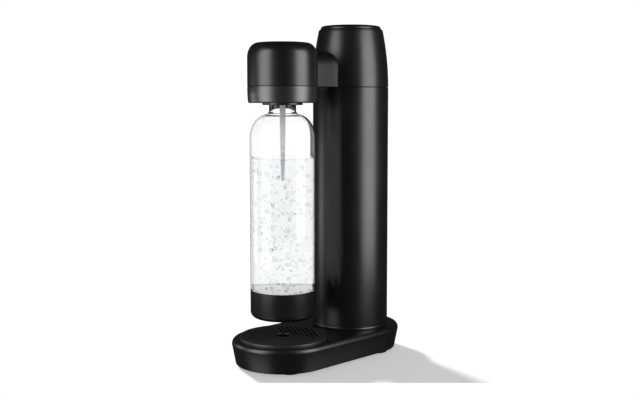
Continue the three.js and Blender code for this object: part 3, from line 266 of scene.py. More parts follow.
# %% Clear bottle, water and gas
def clear(name, colour, ior, ripple=0.0, scale=60.0):
    """A see-through material: the ripple is a faint unevenness of the surface."""
    material, tree, shader = new_shader(name)
    shader["Base Color"].default_value = colour
    shader["Transmission Weight"].default_value = 1.0
    shader["IOR"].default_value = ior
    shader["Roughness"].default_value = 0.0
    if ripple:
        place = put(tree, "ShaderNodeTexCoord", (-800, 0))
        waves = put(tree, "ShaderNodeTexNoise", (-550, 0), {
            "Vector": place.outputs["Object"], "Scale": scale, "Detail": 2.0})
        relief = put(tree, "ShaderNodeBump", (-250, 0), {
            "Strength": ripple, "Distance": 0.0005, "Height": waves.outputs[0]})
        tree.links.new(relief.outputs["Normal"], shader["Normal"])
    return material


SLOT_MATERIAL["clear_plastic"] = clear("bottle_clear", (0.985, 0.99, 0.99, 1), 1.25, ripple=0.02, scale=35.0)
SLOT_MATERIAL["water"] = clear("sparkling_water", (0.90, 0.91, 0.92, 1), 1.10, ripple=0.03, scale=90.0)
GAS_BUBBLE = clear("gas_bubble", (1.0, 1.0, 1.0, 1), 1.04)


def paint_rim_shade(material, start, end, colour):
    """Painted shade: the colour darkens where the surface turns away from the view, standing in for the dark
    outline that refraction gives.
    """
    tree = material.node_tree
    base_colour = tree.nodes["Principled BSDF"].inputs["Base Color"]
    facing = put(tree, "ShaderNodeLayerWeight", (-700, 200), {"Blend": 0.5})
    tone = put(tree, "ShaderNodeValToRGB", (-450, 200), {0: facing.outputs["Facing"]})
    first, last = tone.color_ramp.elements
    first.position, last.position = start, end
    first.color, last.color = tuple(base_colour.default_value), colour
    tree.links.new(tone.outputs["Color"], base_colour)


# Painted shade: dark rings on the bubbles and grey outlines on the bottle, put into their colour by facing
# angle
paint_rim_shade(GAS_BUBBLE, 0.30, 0.72, (0.03, 0.033, 0.036, 1.0))
paint_rim_shade(SLOT_MATERIAL["clear_plastic"], 0.74, 0.93, (0.16, 0.165, 0.17, 1.0))
print("clear materials:", 3)

# %% [markdown]
# ## Shape helpers
# Most parts were made on tools that are round, so the main helper turns a profile about an
# upright axis. A profile is a list of (radius, height, fillet): the third number rounds that
# corner. Cuts are made with a Boolean modifier, whose result is kept as a plain mesh.

# %% Profiles with rounded corners
def rounded(corners, steps=5):
    """The (radius, height) points of a profile; a third number at a corner is its fillet radius."""
    points = []
    count = len(corners)
    for i, corner in enumerate(corners):
        here = Vector(corner[:2])
        fillet = corner[2] if len(corner) > 2 else 0
        if not fillet:
            points.append(here)
            continue
        before = Vector(corners[i - 1][:2]) - here
        after = Vector(corners[(i + 1) % count][:2]) - here
        half = before.angle(after) / 2
        reach = min(fillet / math.tan(half), before.length * 0.499, after.length * 0.499)
        radius = reach * math.tan(half)
        centre = here + (before.normalized() + after.normalized()).normalized() * (radius / math.sin(half))
        first = here + before.normalized() * reach - centre
        last = here + after.normalized() * reach - centre
        turn = first.angle_signed(last)
        for k in range(steps + 1):
            spun = first.copy()
            spun.rotate(Matrix.Rotation(-turn * k / steps, 2))
            points.append(centre + spun)
    clean = [points[0]]
    for p in points[1:]:
        if (p - clean[-1]).length > 1e-4:
            clean.append(p)
    return [(max(p.x, 0.0), p.y) for p in clean]


def arc(centre_r, centre_z, across, up, start, end, steps):
    """Points on an ellipse's arc, angles in degrees from the outward direction."""
    out = []
    for k in range(steps + 1):
        a = math.radians(start + (end - start) * k / steps)
        out.append((centre_r + across * math.cos(a), centre_z + up * math.sin(a)))
    return out


# %% From a bmesh to a finished piece
def mesh_from(bm):
    bmesh.ops.remove_doubles(bm, verts=bm.verts, dist=1e-6)
    bmesh.ops.recalc_face_normals(bm, faces=bm.faces)
    mesh = bpy.data.meshes.new("shape")
    bm.to_mesh(mesh)
    bm.free()
    return mesh


def loose_object(mesh):
    obj = bpy.data.objects.new(mesh.name, mesh)
    bpy.context.scene.collection.objects.link(obj)
    return obj


def turned(profile, y, sides=ROUND, start=0.0, sweep=360.0):
    """A mesh turned about the upright axis at y. A profile that touches the axis is left open there."""
    bm = bmesh.new()
    whole = sweep >= 360.0
    count = sides if whole else max(2, round(sides * sweep / 360.0)) + 1
    steps = sides if whole else count - 1
    closed = profile[0][0] > 1e-6 or profile[-1][0] > 1e-6
    rings = []
    for k in range(count):
        a = math.radians(start + sweep * k / steps)
        ring = []
        for r, z in profile:
            ring.append(bm.verts.new((r * math.cos(a) / 1000, (y + r * math.sin(a)) / 1000, z / 1000)))
        rings.append(ring)
    spans = len(profile) if closed else len(profile) - 1
    for k in range(count if whole else count - 1):
        a, b = rings[k], rings[(k + 1) % count]
        for i in range(spans):
            j = (i + 1) % len(profile)
            corners = [a[i], b[i], b[j], a[j]]
            if profile[i][0] < 1e-6 and profile[j][0] < 1e-6:
                continue
            if profile[i][0] < 1e-6:
                corners = [a[i], b[j], a[j]]
            elif profile[j][0] < 1e-6:
                corners = [a[i], b[i], a[j]]
            bm.faces.new(corners)
    if not whole:
        bm.faces.new(rings[0])
        bm.faces.new(list(reversed(rings[-1])))
    return mesh_from(bm)


def between(near, far):
    """A solid between two matching outlines of (x, y, z) points."""
    bm = bmesh.new()
    low = [bm.verts.new([v / 1000 for v in point]) for point in near]
    high = [bm.verts.new([v / 1000 for v in point]) for point in far]
    bm.faces.new(low)
    bm.faces.new(high)
    for i in range(len(low)):
        j = (i + 1) % len(low)
        bm.faces.new([low[i], low[j], high[j], high[i]])
    return mesh_from(bm)


def prism(outline, z0, z1):
    """An upright prism from an outline of (x, y) points."""
    return between([(x, y, z0) for x, y in outline], [(x, y, z1) for x, y in outline])


def lying_prism(outline, y0, y1):
    """A prism along Y from an outline of (x, z) points."""
    return between([(x, y0, z) for x, z in outline], [(x, y1, z) for x, z in outline])


def plug(r, z0, z1, y, sides=ROUND):
    """A plain round bar."""
    return turned([(0, z0), (r, z0), (r, z1), (0, z1)], y, sides)


def shifted(mesh, x, y, z=0.0):
    """The mesh moved by millimetres."""
    mesh.transform(Matrix.Translation((x / 1000, y / 1000, z / 1000)))
    return mesh


def kept(obj):
    """The object's mesh with its modifiers worked in."""
    bpy.context.view_layer.update()
    depsgraph = bpy.context.evaluated_depsgraph_get()
    mesh = bpy.data.meshes.new_from_object(obj.evaluated_get(depsgraph), depsgraph=depsgraph)
    obj.modifiers.clear()
    return mesh


def combined(mesh, others, operation="DIFFERENCE"):
    """The mesh after each of the others is cut from it or joined to it."""
    obj = loose_object(mesh)
    for other in others:
        tool = loose_object(other)
        boolean = obj.modifiers.new("shape", "BOOLEAN")
        boolean.operation = operation
        boolean.solver = "EXACT"
        boolean.object = tool
        obj.data = kept(obj)
        bpy.data.objects.remove(tool)
    result = obj.data
    bpy.data.objects.remove(obj)
    return result


def softened(mesh, width, angle=50.0, segments=2):
    """The mesh with its sharp edges rounded by a small bevel."""
    obj = loose_object(mesh)
    bevel = obj.modifiers.new("edges", "BEVEL")
    bevel.width = width / 1000
    bevel.segments = segments
    bevel.limit_method = "ANGLE"
    bevel.angle_limit = math.radians(angle)
    bevel.use_clamp_overlap = True
    result = kept(obj)
    bpy.data.objects.remove(obj)
    return result


def finish_piece(name, mesh, body, slot, nodes=(), angle=32.0, material=None):
    """The finished piece: smooth shading with crisp corners, its material, body and CAD nodes."""
    mesh.name = name
    mesh.materials.clear()
    mesh.materials.append(material or SLOT_MATERIAL[slot])
    for polygon in mesh.polygons:
        polygon.use_smooth = True
    mesh.set_sharp_from_angle(angle=math.radians(angle))
    obj = loose_object(mesh)
    obj.name = name
    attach(obj, body)
    if nodes:
        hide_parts(*nodes)
    print(f"{name}: {len(mesh.polygons)} faces on {body}")
    return obj


def fine(node, mesh, body, slot, angle=32.0):
    """The finished piece that takes one CAD node's place."""
    return finish_piece(f"{node}_fine", mesh, body, slot, [node], angle)


# %% [markdown]
# ## Base
# The base is a deep moulded tub, upside down: two half circles joined by straight sides. Its wall
# leans out a little to the deck, which is rounded over. It is lofted from rows of the same
# outline, outside and inside, and the wells for the tray and the gas cylinder are cut after.

# %% The base shell
def stadium_row(r, sides=96):
    half = sides // 2
    row = []
    for centre, begin in ((TOWER_Y, 0.0), (BOTTLE_Y, math.pi)):
        for i in range(half + 1):
            a = begin + math.pi * i / half
            row.append((r * math.cos(a), centre + r * math.sin(a)))
    return row


def lofted_shell(outside, inside):
    """A closed tub from (radius, height) levels: up the outside, over the deck and down the inside."""
    bm = bmesh.new()

    def rows(levels):
        made = []
        for r, z in levels:
            made.append([bm.verts.new((x / 1000, y / 1000, z / 1000)) for x, y in stadium_row(r)])
        return made

    out_rows, in_rows = rows(outside), rows(inside)
    for stack in (out_rows, in_rows):
        for low, high in zip(stack, stack[1:]):
            for i in range(len(low)):
                j = (i + 1) % len(low)
                bm.faces.new([low[i], low[j], high[j], high[i]])
        bm.faces.new(stack[-1])
    for i in range(len(out_rows[0])):
        j = (i + 1) % len(out_rows[0])
        bm.faces.new([out_rows[0][i], out_rows[0][j], in_rows[0][j], in_rows[0][i]])
    return mesh_from(bm)


BASE_R = 63.4           # at its widest, just under the deck's rounding
BASE_FOOT = 2.8
BASE_SHOULDER = 27.0
outside = rounded([(57.0, BASE_FOOT), (58.7, BASE_FOOT, 1.4), (BASE_R, BASE_SHOULDER)], 5)
for turn in range(9, 91, 9):
    a = math.radians(turn)
    outside.append((BASE_R - 4.5 * (1 - math.cos(a)), BASE_SHOULDER + 6.0 * math.sin(a)))
inside = [(55.6, BASE_FOOT), (55.6, 7.3), (60.4, 26.0), (56.5, 30.6)]
base = lofted_shell(outside, inside)


ledge = turned([(52.0, 28.4), (56.8, 28.4), (56.8, 30.8), (56.8, 31.0), (52.0, 31.0)], BOTTLE_Y)
rim_seat, tray_well = plug(54.7, 31.0, 40, BOTTLE_Y), plug(52.0, 20, 32, BOTTLE_Y)
base = combined(base, [rim_seat, tray_well, plug(34.3, 20, 40, TOWER_Y)])
bosses = []
for x in (-38, 38):
    for y in (-34.5, 34.5):
        boss = turned([(1.9, 5.6), (4.0, 5.6), (4.0, 31.5), (1.9, 31.5)], 0, 24)
        bosses.append(shifted(boss, x, y))
base = combined(base, [ledge] + bosses, "UNION")
fine("base_shell", base, "machine", "black_shell", 28)

# %% [markdown]
# ## Feet
# Four rubber discs stand out below the base. Their lower edge is rounded and their underside has
# two moulded rings, so each is turned from one profile.

# %% Four rubber feet
foot_profile = rounded([
    (0, 0.6), (5.0, 0.6, 0.3), (5.4, 0.0, 0.2), (7.6, 0.0, 0.2), (8.0, 0.6, 0.3),
    (10.2, 0.6, 0.3), (10.6, 0.0, 0.2),
    (13.0, 0.0, 0.5), (13.0, 2.45, 0.2), (9.0, 2.45), (9.0, 5.3, 0.3), (0, 5.3)], 3)
for label, x, y in (
        ("front_right", 33, -81), ("front_left", -33, -81),
        ("rear_right", 42, 66.5), ("rear_left", -42, 66.5)):
    foot = shifted(turned(foot_profile, 0, 48), x, y)
    fine(f"foot_{label}", foot, "machine", "rubber_foot")

# %% [markdown]
# ## Drip tray
# The tray is a round dish with a flat rim that lies in the deck's seat. One profile makes it, with
# every corner rounded as moulding leaves it.

# %% The drip tray
tray_profile = rounded([
    (0, 23.3), (49.0, 23.3, 1.8), (51.4, 26.2, 1.0), (51.5, 31.3, 0.1), (54.4, 31.3, 0.3),
    (54.4, TRAY_TOP, 1.6), (49.35, TRAY_TOP, 0.3), (49.35, 33.4, 0.2), (46.9, 33.4, 0.4),
    (46.9, 24.9, 1.2), (0, 24.9)], 4)
fine("drip_tray", turned(tray_profile, BOTTLE_Y), "tray", "black_tray")

# %% [markdown]
# ## Grille
# The grille is a disc with three fields of parallel slots that turn round the finger hole like a
# pinwheel. The slots repeat by a rule, so Geometry Nodes lay them out: a line of points gives the
# rows, simple maths gives each row's two ends, and three turned copies make the fields.

# %% Helpers for Geometry Nodes
def start_tree(name, inputs):
    """A geometry tree with named number inputs, and its input sockets."""
    tree = bpy.data.node_groups.new(name, "GeometryNodeTree")
    tree.interface.new_socket(name="Geometry", in_out="INPUT", socket_type="NodeSocketGeometry")
    for label, default in inputs.items():
        kind = "NodeSocketInt" if isinstance(default, int) else "NodeSocketFloat"
        socket = tree.interface.new_socket(name=label, in_out="INPUT", socket_type=kind)
        socket.default_value = default
    tree.interface.new_socket(name="Geometry", in_out="OUTPUT", socket_type="NodeSocketGeometry")
    return tree, put(tree, "NodeGroupInput", (-1600, 0)).outputs


def end_tree(tree, source, material):
    """Realize Instances and Set Material, then the output."""
    real = put(tree, "GeometryNodeRealizeInstances", (900, 0), {0: source})
    paint = put(tree, "GeometryNodeSetMaterial", (1100, 0), {0: real.outputs[0], "Material": material})
    put(tree, "NodeGroupOutput", (1300, 0), {0: paint.outputs[0]})
    return tree


def grown(mesh, tree, values):
    """The plain mesh that a tree makes from a mesh, with the values given by input name."""
    obj = loose_object(mesh)
    modifier = obj.modifiers.new("grow", "NODES")
    modifier.node_group = tree
    by_name = {s.name: s.identifier for s in tree.interface.items_tree if s.in_out == "INPUT"}
    for label, value in values.items():
        modifier[by_name[label]] = value
    result = kept(obj)
    bpy.data.objects.remove(obj)
    return result


def spot(tree, x=0.0, y=0.0, z=0.0):
    """A vector from three numbers or sockets."""
    return put(tree, "ShaderNodeCombineXYZ", (0, 0), {"X": x, "Y": y, "Z": z}).outputs[0]


def copies(tree, points, shape, **how):
    """A copy of the shape on every point, with its Scale or Rotation."""
    return put(tree, "GeometryNodeInstanceOnPoints", (0, 0), {
        "Points": points, "Instance": shape, **how}).outputs[0]


# %% The tree that cuts the slots
def build_slot_tree():
    tree, enter = start_tree("grille_slots", {
        "Rows": 8, "Pitch": 0.0053, "Slot Width": 0.0026, "Field Radius": 0.0464,
        "First Row": 0.0028, "Hub Radius": 0.0115, "Divider": 0.0019, "Height": 0.03, "Fields": 3})
    line = put(tree, "GeometryNodeMeshLine", (-1300, 200), {
        "Count": enter["Rows"], "Start Location": spot(tree, y=enter["First Row"]),
        "Offset": spot(tree, y=enter["Pitch"])}).outputs[0]
    # Each row's ends: the field's circle on the right, the hub or the slanting divider on the left.
    place = put(tree, "GeometryNodeInputPosition", (-1300, -200))
    y = put(tree, "ShaderNodeSeparateXYZ", (-1150, -200), {0: place.outputs[0]}).outputs["Y"]
    flipped = maths(tree, "MULTIPLY", y, -1.0)
    half = maths(tree, "MULTIPLY", enter["Slot Width"], 0.5)

    def chord(radius, height):
        """Half the chord of a circle at a height over its centre."""
        under_root = maths(tree, "SUBTRACT", maths(tree, "MULTIPLY", radius, radius),
                           maths(tree, "MULTIPLY", height, height))
        return maths(tree, "SQRT", maths(tree, "MAXIMUM", under_root, 0.0))

    bottom = maths(tree, "SUBTRACT", y, half)
    slant = maths(tree, "MULTIPLY", bottom, -0.57735)
    edge = maths(tree, "ADD", slant, enter["Divider"])
    is_low = maths(tree, "LESS_THAN", bottom, enter["Hub Radius"])
    hub_side = maths(tree, "MULTIPLY", chord(enter["Hub Radius"], bottom), is_low)
    far = maths(tree, "MULTIPLY", maths(tree, "SUBTRACT", 1.0, is_low), -1.0)
    left_hub = maths(tree, "ADD", hub_side, far)
    reach = chord(enter["Field Radius"], maths(tree, "ADD", y, half))
    left_edge = maths(tree, "MAXIMUM", left_hub, edge)
    left_edge = maths(tree, "MAXIMUM", left_edge, maths(tree, "MULTIPLY", reach, -1.0))
    left = maths(tree, "ADD", left_edge, half)
    right = maths(tree, "SUBTRACT", reach, half)
    length = maths(tree, "MAXIMUM", maths(tree, "SUBTRACT", right, left), 0.0005)
    middle = maths(tree, "MULTIPLY", maths(tree, "ADD", left, right), 0.5)

    def placed(x, points, shape, **how):
        """The shape on each row, at a place along it."""
        moved = put(tree, "GeometryNodeSetPosition", (0, 0), {
            "Geometry": points, "Position": spot(tree, x, flipped)})
        return copies(tree, moved.outputs[0], shape, **how)

    # A row's length must be worked out before its point moves, so it is stored on the point.
    store = put(tree, "GeometryNodeStoreNamedAttribute", (0, 0), {
        "Geometry": line, "Name": "long", "Value": length}, data_type="FLOAT", domain="POINT")
    long = put(tree, "GeometryNodeInputNamedAttribute", (0, 0), {"Name": "long"}, data_type="FLOAT")
    bar = put(tree, "GeometryNodeMeshCube", (0, 0), {
        "Size": spot(tree, 1.0, enter["Slot Width"], enter["Height"])})
    end = put(tree, "GeometryNodeMeshCylinder", (0, 0), {
        "Vertices": 16, "Radius": half, "Depth": enter["Height"]}).outputs["Mesh"]
    bars = placed(middle, store.outputs[0], bar.outputs[0], Scale=spot(tree, long.outputs[0], 1.0, 1.0))
    join = put(tree, "GeometryNodeJoinGeometry")
    for source in (bars, placed(left, line, end), placed(right, line, end)):
        tree.links.new(source, join.inputs[0])
    # Three turned copies of the field.
    centre = put(tree, "GeometryNodePoints", (0, 0), {"Count": enter["Fields"]})
    index = put(tree, "GeometryNodeInputIndex")
    spin = maths(tree, "ADD", maths(tree, "MULTIPLY", index.outputs[0], math.radians(120)), math.radians(30))
    fields = copies(tree, centre.outputs[0], join.outputs[0], Rotation=spot(tree, z=spin))
    real = put(tree, "GeometryNodeRealizeInstances", (0, 0), {0: fields})
    cut = put(tree, "GeometryNodeMeshBoolean", (0, 0), operation="DIFFERENCE", solver="EXACT")
    cut.inputs["Self Intersection"].default_value = True
    tree.links.new(enter[0], cut.inputs["Mesh 1"])
    tree.links.new(real.outputs[0], cut.inputs["Mesh 2"])
    return end_tree(tree, cut.outputs[0], SLOT_MATERIAL["black_tray"])


# %% The grille
GRILLE_SLOTS = build_slot_tree()
disc_profile = rounded([
    (9.5, -2.6, 0.3), (49.0, -2.6, 0.2), (49.0, 0.0, 0.5), (47.9, 0.0, 0.15), (47.5, -0.35, 0.1),
    (46.9, -0.35, 0.1), (46.6, -0.15, 0.1), (10.8, -0.15, 0.3), (10.2, 0.0, 0.3), (9.5, 0.0, 0.3)], 3)
grille = grown(turned(disc_profile, 0), GRILLE_SLOTS, {})
fine("drip_grille", shifted(grille, 0, BOTTLE_Y, TRAY_TOP), "grille", "black_tray", 28)

# %% [markdown]
# ## Tower
# The tower's wall goes round the front and sides; the rear cover closes the back, so the wall is a
# turned profile that stops at the cover's edges. The top edge is slightly rounded, which gives the
# thin bright line under the upper cover, and a small fillet meets the deck at the foot.

# %% The tower's shell
foot_flare = []
for turn in range(0, 91, 15):
    a = math.radians(turn)
    foot_flare.append((TOWER_R + 1.6 * (1 - math.sin(a)), TOWER_FOOT + 0.25 + 2.6 * (1 - math.cos(a))))
wall = [(TOWER_INNER_R, TOWER_FOOT), (TOWER_R + 1.6, TOWER_FOOT)] + foot_flare + rounded([
    (TOWER_R, 40.0), (TOWER_R, SEAM, 0.7), (TOWER_INNER_R, SEAM, 0.2), (TOWER_INNER_R, 40.0)], 4)[1:-1]
tower = turned(wall, TOWER_Y, ROUND, 90 + 55, 250)
fine("tower_shell", tower, "machine", "black_shell", 28)


# %% [markdown]
# ## Rear cover
# The rear cover is a curved sheet with a tongue that clips into the upper cover. A sheet like that
# is easy to build as a grid of cells in angle and height: only the cells inside its outline are
# kept, so the step at the tongue and the catch's hole need no cutting.

# %% A curved sheet from angles and heights
def curved_sheet(angles, heights, inside, outer, thickness, y):
    """A wall whose cells (middle angle, middle height) pass the test; outer(z) is its outside radius."""
    bm = bmesh.new()
    cache = {}

    def corner(i, k, layer):
        key = (i, k, layer)
        if key not in cache:
            a = math.radians(90 + angles[i])
            z = heights[k]
            r = outer(z) - (thickness if layer else 0)
            cache[key] = bm.verts.new((r * math.cos(a) / 1000, (y + r * math.sin(a)) / 1000, z / 1000))
        return cache[key]

    def filled(i, k):
        if not (0 <= i < len(angles) - 1 and 0 <= k < len(heights) - 1):
            return False
        return inside((angles[i] + angles[i + 1]) / 2, (heights[k] + heights[k + 1]) / 2)

    for i in range(len(angles) - 1):
        for k in range(len(heights) - 1):
            if not filled(i, k):
                continue
            for layer in (0, 1):
                bm.faces.new([corner(i, k, layer), corner(i + 1, k, layer),
                              corner(i + 1, k + 1, layer), corner(i, k + 1, layer)])
            for (di, dk), (p, q) in (((-1, 0), ((i, k), (i, k + 1))), ((1, 0), ((i + 1, k), (i + 1, k + 1))),
                                     ((0, -1), ((i, k), (i + 1, k))), ((0, 1), ((i, k + 1), (i + 1, k + 1)))):
                if not filled(i + di, k + dk):
                    bm.faces.new([corner(*p, 0), corner(*q, 0), corner(*q, 1), corner(*p, 1)])
    return mesh_from(bm)


def steps_between(marks, step):
    """Evenly split stretches between the marks."""
    out = [marks[0]]
    for a, b in zip(marks, marks[1:]):
        n = max(1, math.ceil((b - a) / step))
        out += [a + (b - a) * k / n for k in range(1, n + 1)]
    return out


def rear_radius(z):
    return cover_radius(max(0.0, z - SEAM))


# %% The rear cover
TONGUE = 27.4                          # half the tongue's width in degrees
STEP_Z = SEAM - GAP                    # the tongue stands above this level
HOLE_LOW, HOLE_HIGH = 352.2, 361.8     # the catch's hole
hole_angle = math.degrees(math.asin(11.3 / 48.0))
angles = steps_between([-54.4, -TONGUE, -hole_angle, hole_angle, TONGUE, 54.4], 2.5)
heights = steps_between([TOWER_FOOT + GAP, 60, STEP_Z, HOLE_LOW, HOLE_HIGH, 366.5], 40)


def in_rear_cover(angle, height):
    if HOLE_LOW < height < HOLE_HIGH and abs(angle) < hole_angle:
        return False
    return height < STEP_Z or abs(angle) < TONGUE


rear = curved_sheet(angles, heights, in_rear_cover, rear_radius, 2.4, TOWER_Y)
rear = softened(rear, 0.4)
fine("rear_cover", rear, "rear_panel", "black_shell", 28)

# %% [markdown]
# ## Catch of the rear cover
# The catch is a small thumb piece with ribs for grip. Its ribs follow the same curve as the cover.

# %% The catch
catch_angle = math.degrees(math.asin(10.9 / 48.0))
catch_heights = steps_between([352.6, 361.4], 0.22)
RIB_LOW, RIB_TALL = 353.4, 7.2


def catch_radius(z):
    along = (z - RIB_LOW) / RIB_TALL
    ripple = max(0.0, math.sin(along * math.pi * 8)) if 0 < along < 1 else 0.0
    return rear_radius(z) + 0.15 + 0.4 * ripple


catch = curved_sheet(steps_between([-catch_angle, catch_angle], 1.6), catch_heights,
                     lambda a, z: True, catch_radius, 4.0, TOWER_Y)
fine("cover_latch", catch, "rear_panel", "black_trim", 40)

# %% [markdown]
# ## Arm
# The arm has straight sides and a round top. The same outline, a little larger, is the opening in
# the head and in the tower's cover that it passes through.

# %% The arm's outline and its shell
def arm_outline(grow, floor=SEAM + GAP, sides=48):
    w = ARM_HALF + grow
    base_z = floor - max(grow, 0) if grow > 0 else floor - grow
    points = [(w, base_z)]
    for k in range(sides + 1):
        a = math.pi * k / sides
        points.append((w * math.cos(a), SEAM + GAP + ARM_SIDE + w * math.sin(a)))
    points.append((-w, base_z))
    return points


arm = lying_prism(arm_outline(0.0), -26.7, 20.5)
arm = combined(arm, [lying_prism(arm_outline(-2.2), -30, 25)])
fine("arm_shell", arm, "machine", "black_shell", 40)

# %% [markdown]
# ## Upper cover of the tower
# This cover bows in towards the button. It is turned as one wall with a rounded rim, and then the
# arm's opening and the rear tongue's notch are cut through it.

# %% The upper cover
curve = [(cover_radius(0.3 + (72.4 - 0.3) * k / 24), SEAM + 0.3 + (72.4 - 0.3) * k / 24) for k in range(25)]
curve[0] = (curve[0][0] - 0.35, curve[0][1])
curve.insert(1, (cover_radius(0.7), SEAM + 0.7))
rim = arc(cover_radius(74) - 0.95, RIM - 0.95, 0.9, 0.95, 15, 90, 5) + [(40.1, RIM - 0.35), (39.7, RIM - 0.9)]
bore = [(39.7, 401.0), (41.0, 399.5)]
hollow = [(cover_radius(h) - 2.4, SEAM + h) for h in (56, 48, 40, 30, 20, 10, 0.3)]
cover = turned(curve + rim + bore + hollow, TOWER_Y)
NOTCH_REACH = 80        # well past the cover's wall
notch = [(0.0, TOWER_Y)]
for turn in range(-28, 29, 7):
    a = math.radians(turn)
    notch.append((NOTCH_REACH * math.sin(a), TOWER_Y + NOTCH_REACH * math.cos(a)))
arm_way = lying_prism(arm_outline(GAP), -5, TOWER_Y)
cover = combined(cover, [arm_way, prism(notch, 330, 366.8)])
fine("upper_cover", cover, "machine", "black_shell", 28)

# %% [markdown]
# ## Button
# The whole top of the tower is the button. Its edge is generously rounded and it stands a few
# millimetres proud of the rim, with a small shadow gap round it.

# %% The button
button_profile = ([(0, 421.6), (20, 421.5), (33.0, 421.25)] + arc(35.2, 417.2, 4.0, 4.0, 90, 0, 10)
                  + rounded([(39.2, 416.0), (39.2, 408.5, 0.3), (36.8, 408.5, 0.3), (36.8, 416.6, 0.2),
                             (34.8, 418.6, 0.2), (0, 418.6)], 3)[1:])
fine("carbonation_button", turned(button_profile, TOWER_Y), "button", "black_shell")

# %% [markdown]
# ## Head
# The head is a cap with a softly domed shoulder over a band with a brighter finish. The band
# tucks in slightly at its lower edge, and a floor plate closes the head underneath.

# %% The cap
CAP_SHOULDER = (29.8, 377.8)
cap_outer = [(HEAD_R - 0.3, SEAM + GAP), (HEAD_R, 343.2)]
cap_outer += arc(*CAP_SHOULDER, 13.0, 17.4, 0, 90, 20) + [(15, 395.65), (0, 395.8)]
cap_inner = [(0, 393.4), (15, 393.3)] + arc(*CAP_SHOULDER, 10.6, 15.0, 90, 0, 12) + [(40.4, SEAM + GAP)]
cap = turned(cap_outer + cap_inner, BOTTLE_Y)
cap = combined(cap, [lying_prism(arm_outline(GAP), BOTTLE_Y, 5)])
fine("head_cap", cap, "machine", "black_shell", 28)

# %% The band
band_profile = rounded([
    (40.4, 322.5), (40.8, 322.5, 0.4), (41.9, 323.7, 1.6), (42.3, 326.5, 3.0), (HEAD_R, 334.0, 8.0),
    (HEAD_R, SEAM, 0.35), (40.4, SEAM)], 4)
fine("head_band", turned(band_profile, BOTTLE_Y), "machine", "black_trim")


# %% The floor plate of the head, with the slot that lets the connector tilt forward
def slot_outline(r, reach, y, sides=96):
    points = []
    for begin, centre in ((0.0, y), (math.pi, y - reach)):
        for k in range(sides // 2 + 1):
            a = begin + math.pi * k / (sides // 2)
            points.append((r * math.cos(a), centre + r * math.sin(a)))
    return points


SCREW_X, SCREW_Y = 32.4, -48.5
plate_profile = rounded([(0, 322.9), (40.1, 322.9, 0.3), (40.1, 325.4, 0.3), (0, 325.4)], 3)
plate = turned(plate_profile, BOTTLE_Y)
posts, screw_ways = [], []
for x in (-SCREW_X, SCREW_X):
    posts.append(shifted(plug(4, 325.0, 345.2, 0, 40), x, SCREW_Y))
    for r, low, high in ((1.9, 320, 350), (3.4, 320, 324.5)):
        screw_ways.append(shifted(plug(r, low, high, 0, 32), x, SCREW_Y))
plate = combined(plate, posts, "UNION")
cuts = [prism(slot_outline(25.2, 10.95, BOTTLE_Y), 320, 330)] + screw_ways
plate = combined(plate, cuts)
fine("head_floor", plate, "machine", "black_shell")

# %% [markdown]
# ## Bottle connector and nozzle
# The connector is the round socket that the bottle screws into. It carries the nozzle, a slim pale
# tube that thins towards its tip, and a holder that clamps it.

# %% The connector
connector_profile = rounded([
    (18.0, 320.0, 0.3), (24.5, 320.0, 0.9), (24.5, 358.5, 0.8), (4.0, 358.5, 0.2), (4.0, 347.0), (8.3, 347.0),
    (8.3, 341.0, 0.2), (18.0, 341.0, 0.3)], 4)
fine("bottle_connector", turned(connector_profile, BOTTLE_Y, 96), "connector", "black_shell")

# %% The nozzle and its holder
nozzle_profile = [(0.7, 346.0), (3.6, 346.0), (3.6, NOZZLE_SHOULDER)]
for k in range(1, 25):
    t = k / 24
    taper = max(0.0, math.cos(math.pi / 2 * t)) ** 0.8
    nozzle_profile.append((1.4 + 2.2 * taper, NOZZLE_SHOULDER + (NOZZLE_TIP - NOZZLE_SHOULDER) * t))
nozzle_profile += [(1.2, NOZZLE_TIP), (0.7, NOZZLE_TIP + 0.3)]
fine("nozzle", turned(nozzle_profile, BOTTLE_Y, 40), "connector", "pale_plastic")
holder_profile = rounded([
    (3.9, 332.0, 0.2), (6.0, 332.0, 0.5), (8.0, 335.0, 0.6), (8.0, 346.6, 0.2), (3.9, 346.6)], 3)
fine("nozzle_holder", turned(holder_profile, BOTTLE_Y, 48), "connector", "pale_plastic")

# %% [markdown]
# ## Bottle
# The bottle is a clear shell with a domed heel inside a black cup, a round shoulder and a threaded
# neck. Both its faces matter, because light bends at each, so the profile goes up the outside and
# back down the inside.

# %% The bottle's wall
def bottle_side(inset):
    heel = HEEL_R - inset
    side = arc(0, 63.3 + 26.0, heel, 26.0 - inset, -90, 0, 14)
    side += [(heel, 94.3 + inset), (BOTTLE_R - inset, 94.6 + inset)]
    side += arc(NECK_R - inset, 279.5, BOTTLE_R - NECK_R, 30.0 - inset, 0, 78.3, 18)
    return side


outer = bottle_side(0.0)
thread = []
for k in range(3):
    z = 327.6 + 3.0 * k
    thread += [(NECK_R, z), (NECK_R + 0.9, z + 0.7), (NECK_R + 0.9, z + 1.3), (NECK_R, z + 2.0)]
outer += [(NECK_R + 1.9, 309.6), (NECK_R + 0.25, 311.0), (NECK_R, 313.5)]
outer += thread + [(NECK_R, MOUTH - 0.3), (NECK_R - 0.3, MOUTH)]
inner = [(NECK_R - 1.0, MOUTH), (NECK_R - BOTTLE_WALL, MOUTH - 0.2), (NECK_R - BOTTLE_WALL, 313.4)]
inner += list(reversed(bottle_side(BOTTLE_WALL)))
bottle = turned(outer + inner, BOTTLE_Y, 128)
fine("bottle", bottle, "bottle_body", "clear_plastic", 60)

# %% The bottle's base cup
cup_profile = ([(0, 61.0), (28.2, 61.0), (30.2, CUP_FOOT)] + arc(32.2, 67.5, 8.0, 8.0, -90, 0, 12)
               + [(BOTTLE_R, 93.6), (39.9, 94.0), (38.6, 94.0), (38.4, 93.8)]
               + arc(32.2, 67.5, 6.2, 6.2, 0, -90, 8)
               + [(28.2, 62.8), (0, 62.8)])
fine("bottle_cup", turned(cup_profile, BOTTLE_Y), "bottle_body", "black_shell")
